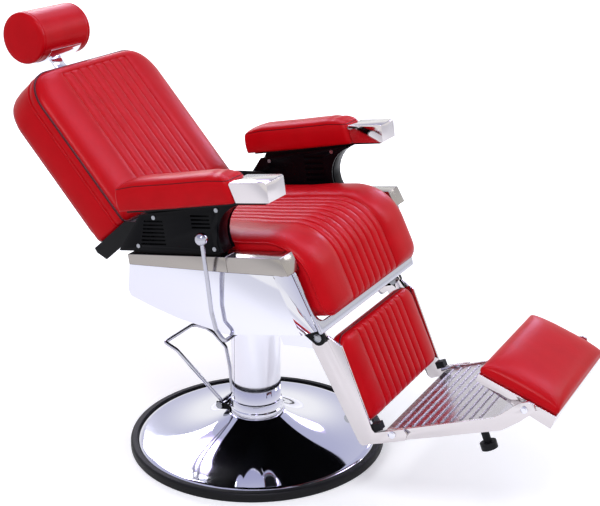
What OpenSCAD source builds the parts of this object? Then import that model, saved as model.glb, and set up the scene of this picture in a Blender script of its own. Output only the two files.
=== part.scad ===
// Hydraulic barber chair: domed round base, pump column, reclining back and linked leg rest.
// Millimetres, +Z up, the chair faces -Y, origin on the floor under the column.

/* [Base] */
// Outer diameter of the rubber floor ring
base_d = 660; // [600:10:720]
// Height of the rubber floor ring
ring_h = 24; // [20:1:30]
// Radial width of the rubber floor ring
ring_w = 34; // [28:1:44]
// Height of the dome's neck above the floor
neck_h = 85; // [80:1:95]
// Radius of the dome's neck
neck_r = 70; // [68:1:76]
// Sheet thickness of the dome
dome_wall = 2.5; // [1.5:0.1:3.5]
// Height of the collar above the neck
collar_h = 37; // [30:1:40]

/* [Column] */
// Outer diameter of the sliding sleeve
sleeve_d = 126; // [122:1:132]
// Wall of the sliding sleeve
sleeve_wall = 3; // [2:0.5:4]
// Outer diameter of the pump cylinder
cylinder_d = 90; // [84:1:96]
// Bore of the pump cylinder
cylinder_bore = 72; // [66:1:76]
// Diameter of the ram
ram_d = 50; // [44:1:56]
// Height of the sleeve's top face above the floor
column_top = 425; // [415:1:428]
// Radial running clearance of shafts and pins
fit = 0.05; // [0.02:0.01:0.1]
// Gap between faces that move past each other
gap = 0.3; // [0.2:0.05:0.5]

/* [Pedal] */
// Diameter of the bent pedal rod
pedal_rod = 10; // [8:0.5:12]
// Distance of the pedal pivot behind the column axis
pedal_y = 88; // [86:1:92]
// Height of the pedal pivot
pedal_z = 92; // [90:1:96]
// Half width of the pedal's bail
bail_half = 67; // [60:1:74]

/* [Seat] */
// Height of the side rails' top at the column axis
deck_z = 605; // [600:1:612]
// Backward tilt of the seat deck
deck_tilt = 7.7; // [6.7:0.1:8.7]
// Clear width between the arm panels
seat_w = 504; // [490:2:530]
// Width of a chrome side rail
rail_w = 56; // [50:1:62]
// Wall of the folded rails
rail_wall = 3; // [2:0.5:4]
// Sheet thickness of the side shells and arm covers
sheet = 3; // [2:0.5:4]
// Thickness of the seat board
board_t = 12; // [9:1:14]
// Height of the seat cushion's seam lines above the rails
seat_top = 20; // [14:1:26]
// Radius of the seat cushion's front knee
knee_r = 115; // [90:5:130]
// Lean of the seat cushion's front face from the vertical
front_lean = 17.5; // [14:0.5:20]
// Puff of the seat's plain borders above the seam lines
seat_crown = 14; // [8:1:16]
// Puff of the seat's sewn channels above the seam lines
seat_puff = 6; // [3:0.5:8]
// Number of sewn channels on the seat
seat_ribs = 8; // [6:1:9]
// Spacing of the sewn channels on the seat
seat_pitch = 29.5; // [26:0.5:32]

/* [Arms] */
// Height of the armrest pad's underside above the rail, at mid length
arm_h = 114; // [112:1:120]
// Width of the armrest pads
pad_w = 75; // [68:1:80]
// Puff of the armrest pads above their seams
pad_crown = 14; // [8:1:18]
// Height of the chrome arm blocks
block_h = 45.5; // [36:0.5:52]
// Number of louvres in the rear part of an arm cover
louvres = 7; // [4:1:7]
// Spacing of those louvres
louvre_pitch = 9; // [8.5:0.5:9.5]

/* [Back] */
// Recline of the back from the vertical at rest
back_angle = 41; // [40:0.5:42]
// Width of the back over its front seams
back_w = 464; // [440:2:470]
// Length of the back's front face
back_l = 423; // [400:1:450]
// Depth of the back cushion behind its front seams
back_d = 112; // [106:1:116]
// Puff of the back cushion
back_crown = 14; // [8:1:18]
// Radius of the back's upper corners
back_corner = 85; // [60:5:95]
// Number of sewn channels on the back
back_ribs = 8; // [6:1:9]
// Spacing of the sewn channels on the back
back_pitch = 32; // [28:1:34]
// Thickness of the back panel
panel_t = 13; // [8:1:16]

/* [Headrest] */
// Diameter of the headrest roll
roll_d = 130; // [110:1:140]
// Length of the headrest roll
roll_l = 194; // [160:2:240]
// Width of the flat headrest post
post_w = 40; // [30:1:44]
// Thickness of the flat headrest post
post_t = 8; // [6:0.5:10]

/* [Leg rest] */
// Forward swing of the leg rest from the vertical at rest
leg_angle = 24; // [23:0.5:25]
// Thickness of the plates of the leg arms and foot bars
plate_t = 6; // [5:0.5:7]
// Clearance between the calf pad and each leg arm
calf_gap = 5; // [4:1:12]
// Puff of the calf pad
calf_crown = 13; // [8:1:15]
// Radius of the calf pad's upper corners
calf_corner = 38; // [20:1:44]
// Number of sewn channels on the calf pad
calf_ribs = 8; // [5:1:9]
// Spacing of the sewn channels on the calf pad
calf_pitch = 29.5; // [26:0.5:32]
// Number of raised ribs on the tread plate
tread_ribs = 10; // [6:1:12]
// Spacing of the raised ribs on the tread plate
tread_pitch = 24; // [18:1:26]
// Spacer between the foot pad tray and each foot bar
tray_gap = 18; // [12:1:24]
// Radius of the brake quadrant
quadrant_r = 140; // [138:0.5:141]

/* [Lever] */
// Diameter of the recline lever's rod
lever_rod_d = 10; // [8:0.5:12]
// Diameter of the lever's ball
ball_d = 30; // [26:1:36]

/* [Hidden] */
$fn = 48;

// Colours
red_vinyl = "#A80F1C";
bright = "#D9DAE2";
black = "#1B1B1E";
steel = "#8C8F94";
iron = "#4A4B4E";
ply = "#B98F5E";

// Base and column
base_r = base_d / 2;
plate_r = base_r - ring_w - gap;
dome_r = base_r - 18;
dome_rim = 18;
sleeve_r = sleeve_d / 2;
cyl_r = cylinder_d / 2;
ram_r = ram_d / 2;
spigot_r = ram_r - 3;
collar_top = neck_h + collar_h;
cyl_top = column_top - 42;

// Across the chair, from the clear width between the arm panels
xi = seat_w / 2;
rail_in = xi + 3;
rail_out = rail_in + rail_w;
pad_in = xi - 2;
frame_x = xi + 20;
frame_t = 6;
cover_out = xi + 45;
web_x = xi - 9;
web_t = 6;
link_x = web_x - 7;
link_t = 6;
beam_out = xi - 17;
beam_w = 30;
leg_out = xi - 46;
leg_in = leg_out - plate_t;
hinge_x = leg_out + 2;
hinge_t = 6;

// Deck levels, above and below the rails' top
board_top = -52;
beam_top = board_top - board_t;
beam_h = 30;
beam_bot = beam_top - beam_h;

// Pivots: recline P in the deck, leg hinge Q in the world
pivot_v = 116;
pivot_w = 36;
pivot_y = pivot_v * cos(deck_tilt) + pivot_w * sin(deck_tilt);
pivot_z = deck_z - pivot_v * sin(deck_tilt) + pivot_w * cos(deck_tilt);
q_v = -264;
q_w = -218;
q_y = q_v * cos(deck_tilt) + q_w * sin(deck_tilt);
q_z = deck_z - q_v * sin(deck_tilt) + q_w * cos(deck_tilt);
recline_pin_r = 10;
hub_r = 22;
crank = [32, -32];
crank_r = 12;
crank_pin_r = 6;
hinge_pin_r = 7;
head_t = 4;
head_rim = 3;

// Back frame: its front lower edge from the recline pivot, rearward n and upward t
back_n0 = 52.6;
back_t0 = 65.9;
guide_n = 85;
frame_front = 58;
back_side = 26;
back_top = 26;

// Headrest roll centre above the back's front lower edge
roll_r = roll_d / 2;
roll_n = 56;
roll_t = back_l + 124;
saddle_t = 3.5;
saddle_arc = -112;

// Leg rest and foot plate
fold_y = -85;
fold_z = -261;
foot_pivot_y = -413;
foot_pivot_z = -265;
foot_slope = 43.3;
bar_x = leg_in - 1 - plate_t;
calf_half = leg_in - calf_gap;
tray_half = bar_x - tray_gap;
fold_pin_r = 6;
pad_pin_r = 5;
tread_slope = 3.3;
lever_v = -93;
lever_w = -191.5;
lever_y = lever_v * cos(deck_tilt) + lever_w * sin(deck_tilt);
lever_z = deck_z - lever_v * sin(deck_tilt) + lever_w * cos(deck_tilt);
lever_x = rail_out + 24;
brake_x = 150;
cam_offset = 8.7;
cam_r = norm([lever_y - q_y, lever_z - q_z]) - quadrant_r - cam_offset - 0.35;

// Functions ------------------------------------------------------------------

// Points of an arc about c from angle a0 to a1
function arc(c, r, a0, a1, n = 6) =
    [for (i = [0:n]) let (a = a0 + (a1 - a0) * i / n) [c.x + r * cos(a), c.y + r * sin(a)]];

// Outline moved inward by d, for an outline that runs anticlockwise
function edge_normal(p, q) = let (e = q - p) [-e.y, e.x] / norm(e);
function inset(o, d) = let (n = len(o))
    [for (i = [0:n - 1])
        let (a = edge_normal(o[(i + n - 1) % n], o[i]), b = edge_normal(o[i], o[(i + 1) % n]))
        o[i] + d * (a + b) / (1 + a * b)];

// Depth of the sewn channels at x: 1 on a seam line, 0 on top of a rib
function seam(x, count, pitch) = let (u = abs(x / pitch + count / 2))
    abs(x) > count * pitch / 2 + 0.01 ? 0 : pow(abs(cos(180 * u)), 3);

// Cross positions of a cushion's rings: sides, bolsters and three rings to a channel
function stations(half, count, pitch, n = 3) = let (c = count * pitch / 2, b = half - c)
    concat([-half, -half + 0.1 * b, -half + 0.4 * b, -c - 0.3 * b],
           [for (i = [0:count * n]) -c + i * pitch / n],
           [c + 0.3 * b, half - 0.4 * b, half - 0.1 * b, half]);

// Puff across a cushion: full in the middle, none at the side seams
function puff(x, half) = sqrt(max(0, 1 - pow(abs(x) / half, 6)));

// Puff of the plain border at x, between the outer seam line at c and the side at half
function border(x, c, half) = let (u = 2 * (abs(x) - c) / (half - c) - 1)
    abs(x) <= c ? 0 : sqrt(max(0, 1 - pow(abs(u), 3)));

// Drop of a rounded corner of radius r at x, on an outline that ends at half
function corner_drop(x, half, r) = let (c = min(r, max(0, abs(x) - half + r))) r - sqrt(r * r - c * c);

// A domed bolt head of radius r on a face at x, pointing outward
module bolt_head(r, x, y, z) {
    translate([x, y, z]) rotate([0, 90, 0]) {
        cylinder(r = r, h = head_t / 2);
        translate([0, 0, head_t / 2]) cylinder(r1 = r, r2 = 0.6 * r, h = head_t / 2);
    }
}

// Modules --------------------------------------------------------------------

module both() {
    children();
    mirror([1, 0, 0]) children();
}

module deck() {
    translate([0, 0, deck_z]) rotate([-deck_tilt, 0, 0]) children();
}

module back() {
    translate([0, pivot_y, pivot_z]) rotate([-back_angle, 0, 0])
        translate([0, back_n0, back_t0]) children();
}

module leg() {
    translate([0, q_y, q_z]) rotate([-leg_angle, 0, 0]) children();
}

module foot_tray() {
    leg() translate([0, foot_pivot_y, foot_pivot_z]) rotate([foot_slope, 0, 0]) children();
}

// A profile in (y, z) drawn from x, t thick
module side_plate(x, t) {
    translate([x, 0, 0]) rotate([90, 0, 90]) linear_extrude(t) children();
}

module x_rod(r, x0, x1, y = 0, z = 0) {
    translate([x0, y, z]) rotate([0, 90, 0]) cylinder(r = r, h = x1 - x0);
}

// A straight rod between two points, with a forged knuckle at the second
module rod(p, q, r) {
    d = q - p;
    translate(p) rotate([0, acos(d.z / norm(d)), atan2(d.y, d.x)]) cylinder(r = r, h = norm(d));
    translate(q) sphere(r = 1.02 * r);
}

module rod_path(points, r) {
    for (i = [0:len(points) - 2]) rod(points[i], points[i + 1], r);
}

// Closed triangle skin through rings of points; each end is a fan of triangles about its core (y, z)
module ring_skin(rings, core) {
    m = len(rings);
    n = len(rings[0]);
    last = (m - 1) * n;
    points = [for (ring = rings) each ring];
    cores = [for (ring = [rings[0], rings[m - 1]]) [ring[0].x, core.x, core.y]];
    sides = [for (i = [0:m - 2], j = [0:n - 1]) let (k = (j + 1) % n)
        each [[i * n + j, (i + 1) * n + k, i * n + k], [i * n + j, (i + 1) * n + j, (i + 1) * n + k]]];
    caps = [for (j = [0:n - 1]) let (k = (j + 1) % n)
        each [[j, k, m * n], [last + k, last + j, m * n + 1]]];
    polyhedron(concat(points, cores), concat(sides, caps), convexity = 6);
}

// Base and column --------------------------------------------------------------

// Height of the dome's outside at radius r
function dome_z(r) = let (r1 = dome_r - dome_rim)
    r >= r1 ? ring_h - 2 : ring_h - 2 + (neck_h - ring_h + 2) * pow((r1 - r) / (r1 - neck_r), 2.3);

module base_plate() {
    color(iron) {
        difference() {
            cylinder(r = plate_r, h = 8);
            translate([0, 0, -1]) for (a = [30:60:330]) rotate(a) translate([plate_r * 0.6, 0, 0])
                cylinder(r = plate_r * 0.14, h = 10);
        }
        cylinder(r = cyl_r + 38, h = 20);
        for (a = [0:60:300]) rotate(a) translate([cyl_r + 20, -4, 7])
            cube([plate_r - cyl_r - 50, 8, 8]);
    }
}

module base_dome() {
    n = 18;
    r_of = function(i) neck_r + (dome_r - dome_rim - neck_r) * i / n;
    outer = [for (i = [0:n]) [r_of(i), dome_z(r_of(i))]];
    inner = [for (i = [n:-1:0]) [r_of(i) - (i == 0 ? 12 : 0), dome_z(r_of(i)) - dome_wall]];
    color(bright) rotate_extrude($fn = 96)
        polygon(concat([[neck_r - 12, neck_h]], outer,
                       [[dome_r, ring_h - 2], [dome_r, ring_h - 2 - dome_wall]], inner));
}

module floor_ring() {
    in_r = base_r - ring_w;
    seat_z = ring_h - 2 - dome_wall;
    color(black) rotate_extrude($fn = 96)
        polygon(concat([[in_r, 0]], arc([base_r - 5, 5], 5, -90, 0, 3),
                       arc([base_r - 8, ring_h - 8], 8, 0, 90, 4),
                       [[dome_r + gap, ring_h], [dome_r + gap, seat_z], [in_r, seat_z]]));
}

module pump_cylinder() {
    color(steel) difference() {
        union() {
            translate([0, 0, 20]) cylinder(r = cyl_r + 30, h = 10);
            translate([0, 0, 25]) cylinder(r = cyl_r, h = cyl_top - 25);
        }
        translate([0, 0, 32]) cylinder(r = cylinder_bore / 2, h = cyl_top);
    }
}

module gland_nut() {
    color(steel) translate([0, 0, cyl_top]) difference() {
        cylinder(r = cyl_r + 4, h = 16, $fn = 6);
        translate([0, 0, -1]) cylinder(r = ram_r + fit, h = 18);
    }
}

module pump_collar() {
    color(bright) rotate_extrude($fn = 96)
        polygon([[cyl_r + 0.2, neck_h], [neck_r, neck_h], [neck_r, neck_h + 15],
                 [sleeve_r + 1, collar_top], [cyl_r + 0.2, collar_top]]);
}

pedal_in = 36;

module pedal_bracket() {
    color(black) difference() {
        union() {
            translate([0, 0, neck_h + 1]) difference() {
                cylinder(r = neck_r + 4, h = 12);
                translate([0, 0, -1]) cylinder(r = neck_r + 0.1, h = 14);
                translate([-neck_r - 10, -neck_r - 10, -1]) cube([2 * neck_r + 20, neck_r + 62, 14]);
            }
            both() side_plate(pedal_in + 1, 5)
                polygon([[neck_r - 12, neck_h + 1], [pedal_y, pedal_z - 11], [pedal_y + 10, pedal_z - 6],
                         [pedal_y + 10, pedal_z + 8], [neck_r - 12, neck_h + 13]]);
        }
        translate([0, 0, neck_h - 5]) cylinder(r = neck_r + 0.1, h = 40);
        x_rod(6, -neck_r, neck_r, pedal_y, pedal_z);
    }
}

module pedal_shaft() {
    color(steel) {
        x_rod(6, -pedal_in - 10, pedal_in + 10, pedal_y, pedal_z);
        both() x_rod(9, pedal_in + 6, pedal_in + 10, pedal_y, pedal_z);
    }
}

module pump_pedal() {
    r = pedal_rod / 2;
    root = [24, pedal_y, pedal_z];
    tip = [bail_half, 234, 251];
    color(bright) difference() {
        union() {
            x_rod(r + 5, -pedal_in, pedal_in, pedal_y, pedal_z);
            rod_path([[-root.x, root.y, root.z], [-bail_half, 198, 236], [-bail_half, 225, 247],
                      [-tip.x, tip.y, tip.z], tip], r);
            rod_path([root, [45, 108, 160], [60, 128, 209], [bail_half, 169, 238],
                      [bail_half, 191, 248], tip], r);
        }
        x_rod(6 + fit, -pedal_in - 1, pedal_in + 1, pedal_y, pedal_z);
    }
}

module ram() {
    color(bright) {
        translate([0, 0, 110]) cylinder(r = ram_r, h = column_top - 6 - 110);
        translate([0, 0, 90]) cylinder(r = cylinder_bore / 2 - fit, h = 20);
        translate([0, 0, column_top - 7]) cylinder(r = spigot_r, h = 57);
    }
}

module column_sleeve() {
    color(bright) difference() {
        translate([0, 0, collar_top + gap])
            cylinder(r = sleeve_r, h = column_top - collar_top - gap, $fn = 96);
        translate([0, 0, collar_top - 1])
            cylinder(r = sleeve_r - sleeve_wall, h = column_top - 6 - collar_top + 1);
        translate([0, 0, column_top - 10]) cylinder(r = spigot_r, h = 20);
    }
}

module thrust_bearing() {
    color(steel) translate([0, 0, column_top]) difference() {
        cylinder(r = spigot_r + 18, h = 6);
        translate([0, 0, -1]) cylinder(r = spigot_r, h = 8);
    }
}

// Seat structure ---------------------------------------------------------------

mount_z = column_top + 16;
mount_t = 10;
mount_half = 110;
hub_top = mount_z + mount_t + 26;

module swivel_housing() {
    color(iron) difference() {
        union() {
            translate([0, 0, column_top + 6 + gap]) cylinder(r = spigot_r + 36, h = 10 - gap);
            translate([0, 0, mount_z - 1]) cylinder(r = spigot_r + 12, h = hub_top - mount_z + 1);
        }
        translate([0, 0, column_top]) cylinder(r = spigot_r + fit, h = 200);
    }
}

// Plate on the swivel housing, with two gussets up to the sub-frame
module seat_mount() {
    color(iron) {
        translate([0, 0, mount_z]) difference() {
            translate([-mount_half, -mount_half, 0]) cube([2 * mount_half, 2 * mount_half, mount_t]);
            translate([0, 0, -1]) cylinder(r = spigot_r + 12 + fit, h = mount_t + 2);
        }
        both() side_plate(78, 8) {
            difference() {
                polygon([[-mount_half, mount_z + mount_t - 1], [mount_half, mount_z + mount_t - 1],
                         [110, deck_z - 110 * sin(deck_tilt) - 20],
                         [-90, deck_z + 90 * sin(deck_tilt) - 20]]);
                translate([0, deck_z]) rotate(-deck_tilt) translate([-300, beam_bot]) square([600, 200]);
            }
        }
    }
}

cross_v = [-80, 70];
arm_v = [-225, 100];

module seat_frame() {
    color(iron) deck() {
        for (v = cross_v) translate([beam_w - beam_out, v, beam_bot])
            cube([2 * (beam_out - beam_w), 40, beam_h]);
        both() translate([beam_out - beam_w, -230, beam_bot]) cube([beam_w, 380, beam_h]);
        both() for (v = arm_v) {
            translate([beam_out, v, beam_bot]) cube([rail_in + 30 - beam_out, 40, beam_h]);
            translate([rail_in + 7, v, beam_top - 1]) cube([23, 40, 1 - beam_top - rail_wall]);
        }
        difference() {
            side_plate(-132, 6) polygon(concat([[-45, beam_bot + 1], [-80, beam_bot + 1]],
                                        arc([lever_v, lever_w], 13, 150, 330, 8)));
            x_rod(lever_rod_d / 2 + fit, -140, -100, lever_v, lever_w);
        }
    }
}

rail_rear = 157;
rail_joint = -112;
rail_front = -251;
rail_nose = -267;
rail_low = -24.5;
rail_mid = -36;
rail_deep = -40;

// A folded channel of outline o, open below
module channel(o) {
    lid = [for (p = inset(o, rail_wall)) [p.x, p.y < -rail_wall - 1 ? -60 : p.y]];
    difference() {
        side_plate(rail_in, rail_w) polygon(o);
        side_plate(rail_in + rail_wall, rail_w - 2 * rail_wall) polygon(lid);
    }
}

module side_rail() {
    color(bright) deck()
        channel([[rail_rear, 0], [rail_joint, 0], [rail_joint, rail_mid], [rail_rear, rail_low]]);
}
module side_rail_left() side_rail();
module side_rail_right() mirror([1, 0, 0]) side_rail();

module rail_caps() {
    color(bright) deck() both() channel([[rail_joint - 0.2, 0], [rail_front, 0], [rail_nose, rail_deep],
                                         [rail_joint - 0.2, rail_mid]]);
}

shell_front = [-228, -279];
shell_bot = -175;
trim_top = [rail_out - 31, -257, rail_deep - 3];
trim_bot = [rail_in + 2, -291, -184];
trim_half = rail_in + 1;
trim_fillet = 36;

module side_shell() {
    o = [[rail_rear, rail_low], [rail_joint, rail_mid], [shell_front[0], rail_deep + 0.9],
         [shell_front[1], shell_bot], [-87, -185], [-31, -170], [39, -153], [100, -131], [167, -102],
         [172, -88]];
    f = [[rail_out, shell_front[0], rail_deep + 0.8], [rail_out, shell_front[1], shell_bot],
         [trim_bot.x + 0.6, trim_bot.y, trim_bot.z], [trim_top.x + 0.6, trim_top.y, trim_top.z]];
    color(bright) deck() {
        difference() {
            side_plate(rail_out - 22, 22) polygon(o);
            side_plate(rail_out - 23, 23 - sheet) polygon(inset(o, sheet));
        }
        polyhedron(concat(f, [for (p = f) p + [-1, sheet, 0]]),
                   [[0, 1, 2], [0, 2, 3], [4, 6, 5], [4, 7, 6], [0, 5, 1], [0, 4, 5],
                    [1, 6, 2], [1, 5, 6], [2, 7, 3], [2, 6, 7], [3, 4, 0], [3, 7, 4]]);
    }
}
module side_shell_left() side_shell();
module side_shell_right() mirror([1, 0, 0]) side_shell();

// U-shaped trim round the seat's front, in its own leaning plane
module front_trim() {
    lean = atan((trim_top.y - trim_bot.y) / (trim_top.z - trim_bot.z));
    h = norm([trim_top.y - trim_bot.y, trim_top.z - trim_bot.z]);
    leg_w = 7;
    strip = 24;
    low = h + 10;
    x_in = trim_bot.x - leg_w + 1;
    half = concat([[trim_top.x, 0], [trim_top.x - leg_w, 0]],
                  arc([x_in - trim_fillet + 3, strip - low + trim_fillet], trim_fillet, -4, -90, 6));
    color(bright) deck() translate([0, trim_top.y, trim_top.z]) rotate([90 - lean, 0, 0]) linear_extrude(7)
        polygon(concat([for (p = half) [p.x, p.y]],
                       [for (i = [len(half) - 1:-1:0]) [-half[i].x, half[i].y]],
                       [[-trim_half - 1, -h], [-trim_half + 2, -low], [trim_half - 2, -low],
                        [trim_half + 1, -h]]));
}

// Seat cushion -------------------------------------------------------------------

board_front = -250;
board_rear = 168;
flap_low = -165;
apron_t = 6;
rear_half = web_x - 11;
front_half = xi - 2;
knee_v = -178;
knee_turn = 90 - front_lean;
knee_end = [knee_v - knee_r * sin(knee_turn), seat_top - knee_r + knee_r * cos(knee_turn)];

module seat_board() {
    color(ply) deck() {
        translate([-front_half + 8, board_front, board_top - board_t])
            cube([2 * front_half - 16, -board_front, board_t]);
        translate([-rear_half + 4, -1, board_top - board_t])
            cube([2 * rear_half - 8, board_rear + 1, board_t]);
        translate([-front_half + 8, board_front - apron_t, flap_low])
            cube([2 * front_half - 16, apron_t, board_top - flap_low]);
    }
}

// Front face of the seat at height w
function seat_face(w) = knee_end.x - (knee_end.y - w) * tan(front_lean);

// Seat section on the seam lines: [v, w, outward v, outward w], the last two scaled by the puff
seat_section = concat(
    [[board_rear - 6, board_top + gap, 0, 0], [board_rear + 4, board_top + 14, 0, 0],
     [board_rear + 5, seat_top - 18, 0, 0.2], [board_rear - 8, seat_top - 3, 0, 0.7]],
    [for (v = [110, 40, -40, -110]) [v, seat_top, 0, 1]],
    [for (i = [0:7]) let (a = knee_turn * i / 7)
        [knee_v - knee_r * sin(a), seat_top - knee_r + knee_r * cos(a), -sin(a), cos(a)]],
    [for (w = [-95, flap_low + 30]) [seat_face(w), w, -cos(front_lean), 0]],
    [[seat_face(flap_low + 12), flap_low + 12, -0.5, 0], [seat_face(flap_low) + 7, flap_low, 0, 0],
     [board_front - apron_t - gap, flap_low, 0, 0], [board_front - apron_t - gap, board_top + gap, 0, 0],
     [-55, board_top + gap, 0, 0]]);

module seat_cushion() {
    c = seat_ribs * seat_pitch / 2;
    corner = trim_fillet + 1;
    pull = 5;
    narrow = rear_half / front_half;
    rings = [for (x = stations(front_half, seat_ribs, seat_pitch))
        let (k = abs(x) > c + 1 ? seat_crown * border(x, c, front_half)
                                : seat_puff * (1 - seam(x, seat_ribs, seat_pitch)),
             s = abs(x) > front_half - 1 ? pull : 0, up = corner_drop(x, front_half + 3, corner))
        [for (p = seat_section) let (pinch = p.x > -60 ? narrow : p.x > -110 ? (1 + narrow) / 2 : 1)
            [x * pinch, p.x + k * p[2] + s * (p[2] < 0 ? 0.6 : 0),
             p.y + k * p[3] - s * p[3] + (p.y < flap_low + 20 ? up : 0)]]];
    color(red_vinyl) deck() ring_skin(rings, [-262, -46]);
}

// Arms ---------------------------------------------------------------------------

function pad_base(v) = arm_h + (v > 5 ? -8 * (v - 5) / 134 : 13 * (5 - v) / 171);
pad_rear = 150;
pad_front = -166;
block_rear = [-157, -169.5];
block_front = -252.6;
block_low = arm_h + 14;
cover_t = 4;
cover_top = [[112, 92], [-146, 120]];

module arm_frames() {
    color(iron) deck() both() difference() {
        union() {
            side_plate(frame_x, frame_t)
                polygon(concat([[150, 0], [150, 40], [100, pad_base(100) - 1], [5, arm_h - 1],
                                [-140, pad_base(-140) - 1]], arc(cover_nose, cover_nose_r + 8, 68, -28, 8),
                               [[-96, 0]]));
            side_plate(xi + 10, 32) polygon([[150, 0], [150, 5], [-90, 5], [-90, 0]]);
            side_plate(xi + 8, 58)
                polygon([[132, pad_base(132)], [5, arm_h], [pad_front, pad_base(pad_front)],
                         [block_rear[1], block_low], [-240, block_low], [-240, block_low - 5],
                         [pad_front, pad_base(pad_front) - 5], [5, arm_h - 5], [132, pad_base(132) - 5]]);
        }
        x_rod(recline_pin_r, frame_x - 1, frame_x + frame_t + 1, pivot_v, pivot_w);
    }
}

module arm_blocks() {
    top = block_low + block_h;
    r = 5;
    o = concat(arc([block_rear[0] - r, top - r], r, 0, 90, 3), arc([block_front + r, top - r], r, 90, 180, 3),
               [[block_front, block_low], [block_rear[1], block_low]]);
    color(bright) deck() both() difference() {
        side_plate(pad_in, pad_w) polygon(o);
        side_plate(pad_in + 3, pad_w - 6)
            polygon([for (p = inset(o, 3)) [p.x, p.y < block_low + 5 ? 0 : p.y]]);
    }
}

cover_nose = [-172, 42];
cover_nose_r = 76;
cover_outline = concat([[184, 5], [186, 7], [112, cover_top[0].y], cover_top[1]],
                       arc(cover_nose, cover_nose_r, 75, -27, 8));

// Slanted slots from v0 to v1, count of them from w0 upward
module slots(x, t, v0, v1, w0, count, pitch, slant = 0) {
    for (i = [0:count - 1]) translate([x - t, v0, w0 + i * pitch])
        cube([3 * t, v1 - v0 + slant * (count - 1 - i), pitch * 0.45]);
}

// Blades behind the slots
module blades(x, v0, v1, w0, count, pitch, lean) {
    for (i = [0:count - 1]) translate([x, v0 - 1, w0 + i * pitch - 0.5]) rotate([0, lean, 0])
        cube([1.2, v1 - v0 + 2, pitch * 0.45 + 1.6]);
}

outer_screws = [[73, 86], [128, 18], [-100, 105], [-81, 15]];
inner_screws = [[86, 84], [-103, 106], [-80, 16], [150, 16]];

module arm_covers_outer() {
    color(black) deck() both() difference() {
        union() {
            side_plate(cover_out, cover_t) polygon(cover_outline);
            side_plate(frame_x - 9, cover_out - frame_x + 10)
                polygon(concat(arc(cover_nose, cover_nose_r, 75, -27, 8),
                               arc(cover_nose, cover_nose_r + sheet, -26, 74, 8)));
        }
        slots(cover_out, cover_t, 50, 102, 21, louvres, louvre_pitch, 3);
        slots(cover_out, cover_t, -78, -28, 62, 4, louvre_pitch);
        for (s = outer_screws) x_rod(2.6, cover_out - 5, cover_out + 10, s.x, s.y);
    }
}

module arm_covers_inner() {
    color(black) deck() both() {
        difference() {
            side_plate(xi, cover_t) polygon(cover_outline);
            slots(xi, cover_t, -74, -20, 28, 5, 15.3);
            for (s = inner_screws) x_rod(2.6, xi - 5, xi + 10, s.x, s.y);
            x_rod(recline_pin_r + gap, xi - 5, xi + 10, pivot_v, pivot_w);
        }
        blades(xi + cover_t - 1, -74, -20, 28, 5, 15.3, -18);
    }
}

// Armrest pad section: [v, height above the pad's base line, outward v, outward w]
pad_section = concat(
    [for (v = [132, 70, 5, -80, -164]) [v, 0, 0, 0]],
    [[-159, 30, 0, 0], [-154.8, 46, 0, 0.4], [-149, 54, 0, 0.9]],
    [for (v = [-128, -89, -40, 10, 60, 105, 140]) [v, 58 - (v > -60 ? 0 : 3), 0, 1]],
    [[150, 52, 0, 0.6], [pad_rear + 3, 36, 0.2, 0], [pad_rear, 12, 0, 0], [pad_rear - 4, 2, 0, 0]]);

module armrest_pad() {
    half = pad_w / 2;
    xs = [-half, -half * 0.94, -half * 0.7, -half * 0.35, 0, half * 0.35, half * 0.7, half * 0.94, half];
    rings = [for (x = xs) let (k = pad_crown * (1 - pow(abs(x) / half, 3)), e = abs(x) > half * 0.95 ? 3 : 0)
        [for (i = [len(pad_section) - 1:-1:0]) let (p = pad_section[i])
            [pad_in + half + x, p.x + k * p[2] - e * sign(p.x) * abs(p[2]),
             pad_base(p.x) + gap + p.y + (k - 1 - 2 * e) * p[3]]]];
    color(red_vinyl) deck() ring_skin(rings, [0, arm_h + 30]);
}
module armrest_pad_left() armrest_pad();
module armrest_pad_right() mirror([1, 0, 0]) armrest_pad();

module cover_screws() {
    color(bright) deck() both() {
        for (s = outer_screws) {
            x_rod(2.5, frame_x + frame_t, cover_out + cover_t, s.x, s.y);
            x_rod(5, cover_out + cover_t, cover_out + cover_t + 2, s.x, s.y);
        }
        for (s = inner_screws) {
            x_rod(2.5, xi, frame_x, s.x, s.y);
            x_rod(5, xi - 2, xi, s.x, s.y);
        }
    }
}

// Hinges -------------------------------------------------------------------------

module hinge_plates() {
    q = [q_v, q_w];
    color(black) deck() both() difference() {
        side_plate(hinge_x, hinge_t)
            polygon(concat([[-80, beam_bot], [-227, beam_bot], [-246, -176]], arc(q, 19, 100, 290, 10),
                           [[-222, -206]], arc([lever_v, lever_w], 13, 250, 390, 6)));
        x_rod(hinge_pin_r, hinge_x - 1, hinge_x + hinge_t + 1, q_v, q_w);
        x_rod(lever_rod_d / 2 + fit, hinge_x - 1, hinge_x + hinge_t + 1, lever_v, lever_w);
    }
}

module hinge_pins() {
    color(steel) both() {
        x_rod(hinge_pin_r, leg_in - 3, hinge_x + hinge_t + 3, q_y, q_z);
        x_rod(hinge_pin_r + head_rim, leg_in - 7, leg_in - gap, q_y, q_z);
        bolt_head(hinge_pin_r + head_rim, hinge_x + hinge_t, q_y, q_z);
    }
}

module recline_pins() {
    color(steel) both() {
        x_rod(recline_pin_r, web_x - 4, frame_x + frame_t + 2, pivot_y, pivot_z);
        x_rod(16, web_x - 5, web_x - gap, pivot_y, pivot_z);
        x_rod(16, frame_x + frame_t, frame_x + frame_t + 5, pivot_y, pivot_z);
    }
}

// Back ---------------------------------------------------------------------------

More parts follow.
